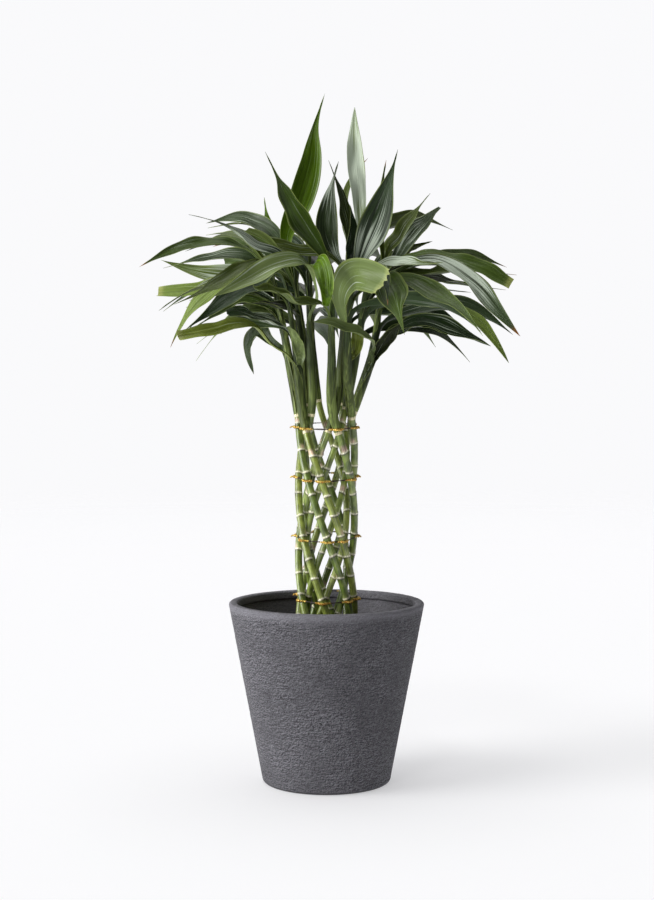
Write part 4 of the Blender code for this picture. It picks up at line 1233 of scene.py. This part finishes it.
def towards(tone, other, share):
    """A colour moved part of the way to another."""
    return [part + (end - part) * share for part, end in zip(tone, other)]


def shaded(tone, share):
    return [part * share for part in tone]


def dress_cane(cane, rings, draw, material):
    """A cane with raised rings that lean a little. Some carry a bud or a bare scar."""
    rows = cane_rows(cane, rings)
    base = CANE_TINTS[draw.randrange(len(CANE_TINTS))]
    tilts = {ring: (draw.uniform(0.3, 1.3) * MM, draw.uniform(0, 2 * math.pi)) for ring in rings}
    highest = max(rings)
    scars = {ring: (draw.random() < 0.2 or ring == highest, draw.uniform(0, 2 * math.pi)) for ring in rings}
    buds = {ring: (draw.random() < 0.55, draw.uniform(0, 2 * math.pi)) for ring in rings}
    path = frames_along([cane_point(cane, row) for row in rows])
    nearest = [min(rings, key=lambda ring: abs(ring - row)) for row in rows]
    radius = cane_radius(cane)

    def around(column, ring, grain):
        turn = 2 * math.pi * column / CANE_COLUMNS
        return turn, Vector((math.cos(turn), math.sin(turn), ring * grain))

    def place(column, row):
        point, side, upward = path[row]
        ring = nearest[row]
        off = rows[row] - ring
        turn, spot = around(column, ring, 90)
        size = radius + RIDGE * (1 + 0.5 * noise.noise(spot * 1.4)) * bell(off, 0.7 * MM)
        size += CANE_KNOT * bell(off + 2.2 * MM, 2.4 * MM)
        has_bud, bud = buds[ring]
        if has_bud:
            aside = (turn - bud + math.pi) % (2 * math.pi) - math.pi
            size += CANE_BUD * bell(aside, 0.35) * bell(off - 1.6 * MM, 1.5 * MM)
        tilt, phase = tilts[ring]
        fade = 1 - smooth((abs(off) - 2 * MM) / (3 * MM))
        shift = upward.cross(side) * tilt * math.cos(turn - phase) * fade
        return point + (side * math.cos(turn) + upward * math.sin(turn)) * size + shift

    def tint(column, row):
        ring = nearest[row]
        off = rows[row] - ring
        turn, spot = around(column, ring, 70)
        low = smooth((CANE_LIGHTER_BELOW - rows[row]) / (14 * CM))
        body = shaded(base, 1 + 0.16 * low)
        if off > 0:
            body = towards(body, CANE_PALE, 0.4 * bell(off - 3 * MM, 4 * MM))
        # painted shade: a dark band in the crease just below each raised ring
        body = shaded(body, 1 - 0.8 * bell(off + 1.9 * MM, 0.9 * MM))
        scarred, facing = scars[ring]
        if scarred and 0 < off < SCAR_HEIGHT:
            bare = smooth(0.5 + 0.9 * math.cos(turn - facing)) * smooth((SCAR_HEIGHT - off) / (2 * MM))
            body = towards(body, CANE_SCAR, bare * 0.85)
        uneven = 0.75 + 0.5 * noise.noise(spot * 2)
        ringed = min(1.0, bell(off, 1.05 * MM) * uneven * 1.6)
        return (*towards(body, CANE_CREAM, ringed), 1.0)

    sheet = Sheet()
    corners = sheet.grid(CANE_COLUMNS, len(rows) - 1, place, tint, 3 * int(cane.name))
    sheet.merge(corners)
    capped(sheet, sheet.shape.verts)
    bmesh.ops.recalc_face_normals(sheet.shape, faces=sheet.shape.faces)
    piece = finished(f"cane_stalk_{cane.name}", sheet.shape, material)
    on_body(piece, f"cane_{cane.name}")


def stem_radius(cane, height):
    """The radius of a leafy top's stem at a height, a little slimmer than its solid's sheaths."""
    start, end = cane.joint * CM + JOINT_GAP, cane.top[2] * CM
    share = (height - start) / (end - start)
    full = cane_radius(cane) + 0.5 * SHEATH * smooth(share / 0.15)
    return full + (CROWN_STEM - full) * smooth((share - 0.2) / 0.8)


def finer(frames):
    """The same frames with one more between each two, on a smooth curve through their points."""
    found = []
    last = len(frames) - 1
    for index, (start, end) in enumerate(zip(frames, frames[1:])):
        low = (end[0] - frames[max(0, index - 1)][0]) / (2 if index else 1)
        high = (frames[min(last, index + 2)][0] - start[0]) / (2 if index + 1 < last else 1)
        point = hermite(start[0], end[0], low, high, 0.5)
        found += [start, (point, (start[1] + end[1]).normalized(), (start[2] + end[2]).normalized())]
    return found + [frames[-1]]


def spread(leaf, by_root, by_width):
    """A number from 0 to 1 that is different for each leaf."""
    return (leaf.root * by_root + leaf.width * by_width) % 1


def leaf_fold(leaf):
    """Half of the angle that a blade is bent through from edge to edge, different for each leaf."""
    return 0.38 + 0.4 * spread(leaf, 7.3, 3.1)


def leaf_streaks(leaf, look, painted_sheens):
    """How strong a leaf's pale and dark streaks are: faint on smooth leaves and full on those with a strong
    painted highlight.
    """
    if look[0] in SMOOTH_TINTS:
        return SMOOTH_STREAKS
    if max(much for _, _, much in painted_sheens) > 0.6:
        return PAINTED_SHEEN_STREAKS
    return 0.3 + 0.4 * spread(leaf, 9.7, 4.3)


def blade_rows(cane, leaf, rank, sheath):
    """Cross-sections from a sheath's foot on the stem to the blade's tip, each as
    (middle, side, upward, half width along the skin, half of the angle it bends through, share)."""
    frames = finer(blade_frames(cane, leaf))
    upward = frames[0][2]
    length = sum((b[0] - a[0]).length for a, b in zip(frames, frames[1:]))
    rows = []
    root = leaf.root * CM
    lift = (0.15 + 0.6 * rank) * MM
    for step in range(SHEATH_ROWS):
        share = step / SHEATH_ROWS
        height = root - sheath * (1 - share)
        centre, tangent = cane_point(cane, height), cane_direction(cane, height)
        up = (upward - tangent * upward.dot(tangent)).normalized()
        radius = stem_radius(cane, height) + lift * smooth((share + 0.05) * 8)
        angle = math.pi * (SHEATH_FOOT - (SHEATH_FOOT - SHEATH_MOUTH) * share**3)
        rows.append((centre - up * radius, tangent.cross(up), up, radius * angle, angle, share - 1))
    radius = stem_radius(cane, root) + lift
    fold = leaf_fold(leaf)
    twist = TIP_TWIST * (2 * spread(leaf, 5.1, 2.7) - 1)
    waist = TIP_WAIST * spread(leaf, 3.7, 1.9) ** 2
    for step, (point, side, upward) in enumerate(frames):
        share = step / (len(frames) - 1)
        along = share * length / BLADE_OPENING
        turn = twist * smooth((share - 0.55) / 0.45)
        side, upward = (side * math.cos(turn) + upward * math.sin(turn),
                        upward * math.cos(turn) - side * math.sin(turn))
        half = blade_width(leaf, share) / 2
        if leaf.trim == 1:
            half *= 1 - waist * smooth((share - 0.68) / 0.16) * (1 - 0.5 * smooth((share - 0.86) / 0.12))
            half = max(half, TIP_RIBBON * smooth((1 - share) / 0.07) * smooth((share - 0.6) / 0.2))
        mouth = 1 - smooth(along * 1.5)
        half += (radius * math.pi * SHEATH_MOUTH - half) * mouth
        angle = fold + (STALK_CHANNEL - fold) * (1 - smooth((along - 0.8) / 1.6))
        angle += max(0.0, min(half / radius, math.pi * SHEATH_MOUTH) - angle) * mouth
        rows.append((point - upward * radius * (1 - smooth(along)), side, upward, half, angle, share))
    return rows


def thicken_leaf(sheet, corners, amid):
    """Welds a leaf's grid, turns it the way that its middle row faces, and gives it a thickness."""
    faces = list(dict.fromkeys(face for corner in corners for face in corner.link_faces))
    bmesh.ops.remove_doubles(sheet.shape, verts=corners, dist=2e-5)
    faces = [face for face in faces if face.is_valid]
    bmesh.ops.recalc_face_normals(sheet.shape, faces=faces)
    top = {corner for face in faces for corner in face.verts}
    middle, _, upward = amid[:3]
    nearest = min(faces, key=lambda face: (face.calc_center_median() - middle).length)
    if nearest.normal.dot(upward) < 0:
        bmesh.ops.reverse_faces(sheet.shape, faces=faces)
    made = bmesh.ops.solidify(sheet.shape, geom=faces, thickness=LEAF_THICKNESS)
    for item in made["geom"]:
        if isinstance(item, bmesh.types.BMVert) and item not in top:
            item[sheet.under] = 1.0


def dress_leaf(sheet, cane, leaf, look, painted_sheens, rank, sheath, draw):
    """One leaf: a sheath round the stem that opens into a channelled stalk and a broad blade."""
    rows = blade_rows(cane, leaf, rank, sheath)
    wave, waves, phase = draw.uniform(0.8, 2.4) * MM, draw.uniform(2.4, 4.8), draw.uniform(0, 6.3)
    pleats, pleat = draw.uniform(9, 14), draw.uniform(0.3, 0.55) * MM
    if look[0] in SMOOTH_TINTS:
        pleat *= 0.15
    vary = draw.uniform(0.8, 1.2)
    body, stalk = shaded(LEAF_TINTS[look[0]], vary), shaded(LEAF_STALK, vary)
    foot = shaded(STEM_GREEN, draw.uniform(0.7, 1.3))
    uneven = draw.uniform(0, 50)
    ragged = [draw.uniform(-1, 1) for _ in range(LEAF_COLUMNS + 1)]
    last = len(rows) - 1

    def place(column, row):
        middle, side, upward, half, angle, share = rows[row]
        across = 2 * column / LEAF_COLUMNS - 1
        bend = angle * across
        out = math.sin(bend) / angle * half
        up = (1 - math.cos(bend)) / angle * half
        grown = smooth((share - 0.12) / 0.25) * min(1.0, 2 * half / (leaf.width * CM))
        ripple = math.sin(share * waves * 2 * math.pi + phase + (2.1 if across > 0 else 0))
        up += wave * grown * abs(across) ** 2.5 * ripple
        up += BLADE_SWELL * grown * noise.noise(Vector((share * 6, across * 1.2, phase * 7)))
        up += pleat * grown * math.cos(across * pleats + phase) * (1 - abs(across) ** 3)
        point = middle + side * out + upward * up
        if look[1] == "ragged" and row == last:
            point += side.cross(upward) * ragged[column] * RAGGED_DEPTH
        return point

    def tint(column, row):
        centre, share = rows[row][0], rows[row][5]
        tone = towards(body, stalk, 0.8 * (1 - smooth((share + 0.05) / 0.3)))
        tone = towards(tone, foot, 0.85 * smooth((-share - 0.3) / 0.7))
        if abs(2 * column / LEAF_COLUMNS - 1) > 0.9:
            tone = towards(tone, LEAF_EDGE, 0.55 if share > 0 else 0.7)
        if look[1]:
            start, dry = LEAF_TIPS[look[1]]
            tone = towards(tone, dry, smooth((share - start) / (1 - start) * 1.5))
        # painted shade: leaves near the crown's middle are drawn darker
        inside = 1 - smooth(math.hypot(centre.x, centre.y) / CROWN_SHADE_REACH)
        # painted highlight: its strength along the blade, kept in the tint's alpha
        painted_shine = sum(much * bell(share - where, reach) for where, reach, much in painted_sheens)
        painted_shine *= 1 + 0.7 * noise.noise(Vector((share * 4, column * 0.3, uneven)))
        return (*shaded(tone, 1 - CROWN_PAINTED_SHADE * inside), painted_shine)

    corners = sheet.grid(LEAF_COLUMNS, last, place, tint, uneven)
    streaks = leaf_streaks(leaf, look, painted_sheens)
    root, onward = rows[SHEATH_ROWS][0], rows[SHEATH_ROWS + 8][0]
    for corner in corners:
        corner[sheet.vivid] = streaks
        corner[sheet.mark] = 1 - smooth((corner.co - root).dot(onward - root) / (4 * CM) ** 2)
    thicken_leaf(sheet, corners, rows[SHEATH_ROWS + SPINE_STEPS])


def dress_shoot(cane, leaves, draw, material):
    """A leafy top: its stem, and its leaves from the lowest up."""
    sheet = Sheet()
    start, end = cane.joint * CM, cane.top[2] * CM
    heights = [start + (end - start) * step / STEM_ROWS for step in range(STEM_ROWS + 1)]
    path = frames_along([cane_point(cane, height) for height in heights])
    radii = [stem_radius(cane, height) - 0.25 * MM for height in heights]
    radii[0] = radii[1] = radii[0] + 0.75 * MM
    radii[-1] *= 0.6

    def tint(column, row):
        if row < 2:
            return STEM_FOOT
        return (*towards(LEAF_STALK, STEM_GREEN, 1 - smooth(row / STEM_ROWS / 0.35)), 0.0)

    stem = tube_grid(sheet, path, radii, STEM_COLUMNS, tint)
    for corner in stem:
        corner[sheet.mark] = 1.0
    sheet.merge(stem)
    capped(sheet, sheet.shape.verts)
    bmesh.ops.recalc_face_normals(sheet.shape, faces=sheet.shape.faces)
    order = sorted(leaves, key=lambda pair: pair[1].root)
    for rank, (number, leaf) in enumerate(order):
        look = FRONT_LOOKS[number] if number < len(FRONT_LOOKS) else draw.choice(MORE_LOOKS)
        # where along each blade its painted highlight lies: drawn at random, or listed for front leaves
        painted_sheens = [(draw.uniform(0.25, 0.75), draw.uniform(0.1, 0.25), draw.uniform(0.0, 0.45))]
        painted_sheens = FRONT_PAINTED_SHEENS.get(number, painted_sheens)
        room = leaf.root * CM - start - 4 * MM
        sheath = min(room, draw.uniform(4.5, 7.5) * CM if rank > 1 else room * (1 - 0.3 * rank))
        outer = 1 - rank / max(1, len(order) - 1)
        dress_leaf(sheet, cane, leaf, look, painted_sheens, outer, max(sheath, 2 * CM), draw)
    piece = finished(f"leafy_top_{cane.name}", sheet.shape, material)
    on_body(piece, f"shoot_{cane.name}")


def tie_route(height):
    """Points round the tower along a tie, and how near each is to the front of an outer cane."""
    knots = tie_points(CANES, height)
    count = len(knots)
    found = []
    for index in range(count):
        before, here, after, beyond = (knots[(index + k) % count] for k in (-1, 0, 1, 2))
        between = (index + 1) % len(TIE_ANGLES) == 0
        for step in range(TIE_STEPS):
            share = step / TIE_STEPS
            point = hermite(here, after, (after - before) / 2, (beyond - here) / 2, share)
            wrapped = 1.0
            if between:
                wrapped = 1 - smooth(share * 3) if share < 0.5 else smooth((share - 0.66) * 3)
            found.append((point, wrapped))
    return found


def loose_end(sheet, start, spare, draw):
    """The twisted end of a tie, which sticks out from the tower and droops a little."""
    outward = Vector((start.x, start.y, 0)).normalized()
    aside = Vector((-outward.y, outward.x, 0))
    tail = []
    for step in range(END_STEPS + 1):
        share = step / END_STEPS
        droop = UP * (2.5 * share - 4 * share * share) * MM
        curl = aside * math.sin(share * 5) * 1.5 * MM
        tail.append(start + outward * share * spare + droop + curl)
    twist = frames_along(tail)
    for strand in (0, 1):
        path = []
        for step, (point, side, upward) in enumerate(twist):
            angle = math.pi * (step * 0.55 + strand)
            path.append(point + (side * math.cos(angle) + upward * math.sin(angle)) * 0.6 * MM)
        for corner in tube_grid(sheet, frames_along(path), [0.55 * MM] * len(path), WIRE_COLUMNS):
            corner[sheet.mark] = draw.choice((0.5, 1.0))


def dress_tie(number, height, draw, material):
    """Two thin wires twisted round each other, gold where they wrap a cane, and a loose end each side."""
    sheet = Sheet()
    route = tie_route(height)
    points = [point for point, _ in route]
    paces = [(b - a).length for a, b in zip(points, points[1:] + points[:1])]
    span = sum(paces)
    turns = round(span / TWIST_PITCH)
    for strand in (0, 1):
        travelled = 0.0
        path, radii = [], []
        for (point, wrapped), pace in zip(route, paces):
            outward = Vector((point.x, point.y, 0)).normalized()
            angle = 2 * math.pi * turns * travelled / span + math.pi * strand
            reach = (0.55 + 0.35 * wrapped) * MM
            path.append(point + (outward * math.cos(angle) + UP * math.sin(angle)) * reach)
            radii.append((0.5 + 0.4 * wrapped + draw.uniform(-0.3, 0.45) * wrapped) * MM)
            travelled += pace
        corners = tube_grid(sheet, frames_along(path + [path[0]]), radii + radii[:1], WIRE_COLUMNS)
        for corner in corners:
            near = min(range(len(path)), key=lambda i: (path[i] - corner.co).length_squared)
            corner[sheet.mark] = route[near][1]
        sheet.merge(corners, 2e-4)
    loose_end(sheet, min(points, key=lambda point: point.x), 5 * MM, draw)
    loose_end(sheet, max(points, key=lambda point: point.x), 2.5 * MM, draw)
    capped(sheet, sheet.shape.verts)
    bmesh.ops.recalc_face_normals(sheet.shape, faces=sheet.shape.faces)
    piece = finished(f"tie_wire_{number}", sheet.shape, material)
    on_body(piece, f"tie_{number}")


def sunlight(name, bearing, height, width, power, tone=(1, 1, 1)):
    """A far light of its own width, all in degrees, so that it is even over the whole floor."""
    lamp = bpy.data.lights.new(name, "SUN")
    lamp.angle = math.radians(width)
    lamp.energy = power
    lamp.color = tone
    holder = bpy.data.objects.new(name, lamp)
    lift = math.radians(height)
    towards = at_bearing(bearing, math.cos(lift), math.sin(lift))
    holder.rotation_euler = towards.to_track_quat("Z", "Y").to_euler()
    bpy.context.scene.collection.objects.link(holder)


def lay_floor():
    shape = bmesh.new()
    bmesh.ops.create_circle(shape, cap_ends=True, segments=FLOOR_STEPS, radius=FLOOR_RADIUS)
    floor = finished("studio_floor", shape, floor_finish())
    floor.data.transform(Matrix.Translation((0, 0, -0.5 * MM)))


def light_backdrop():
    """Soft light from all round, most from one side, with an even pale tone where the camera looks."""
    world = bpy.data.worlds.new("studio")
    world.use_nodes = True
    tree = world.node_tree
    backdrop = tree.nodes["Background"]
    backdrop.inputs["Color"].default_value = BACKDROP_TONE
    rays = tree.nodes.new("ShaderNodeLightPath")
    way = tree.nodes.new("ShaderNodeTexCoord")
    facing = tree.nodes.new("ShaderNodeVectorMath")
    facing.operation = "DOT_PRODUCT"
    facing.inputs[1].default_value = FILL_FROM
    fill = tree.nodes.new("ShaderNodeMapRange")
    fill.interpolation_type = "SMOOTHSTEP"
    fill.inputs["From Min"].default_value = FILL_START
    fill.inputs["To Min"].default_value = FILL_LEAST
    fill.inputs["To Max"].default_value = FILL_MOST
    level = tree.nodes.new("ShaderNodeMix")
    level.inputs["B"].default_value = BACKDROP
    tree.links.new(way.outputs["Generated"], facing.inputs[0])
    tree.links.new(facing.outputs["Value"], fill.inputs["Value"])
    tree.links.new(fill.outputs["Result"], level.inputs["A"])
    tree.links.new(rays.outputs["Is Camera Ray"], level.inputs["Factor"])
    tree.links.new(level.outputs["Result"], backdrop.inputs["Strength"])
    bpy.context.scene.world = world


def set_camera():
    """The camera of the photograph, which looks a little down."""
    lens = bpy.data.cameras.new("camera")
    lens.sensor_fit = "VERTICAL"
    lens.sensor_height = 36
    lens.lens = CAMERA_LENS
    lens.shift_x = CAMERA_SHIFT
    camera = bpy.data.objects.new("camera", lens)
    camera.location = CAMERA_PLACE
    camera.rotation_euler = (math.radians(90 - CAMERA_DIP), 0, 0)
    bpy.context.scene.collection.objects.link(camera)
    bpy.context.scene.camera = camera


def main():
    draw = random.Random(SEED)
    skin, leaf_skin = cane_finish(), leaf_finish()
    dress_pot(pot_finish())
    dress_soil(soil_finish())
    looks = random.Random(SEED + 1)
    for cane in CANES:
        dress_cane(cane, ring_heights(cane, draw), looks, skin)
    leaves = placed_leaves()
    for cane in CANES:
        dress_shoot(cane, leaves[cane.name], looks, leaf_skin)
    foil = tie_finish()
    for number, height in enumerate(TIE_HEIGHTS, 1):
        dress_tie(number, height, looks, foil)
    bpy.context.scene.view_settings.view_transform = "Standard"
    lay_floor()
    light_backdrop()
    for light in LIGHTS:
        sunlight(*light)
    set_camera()


main()
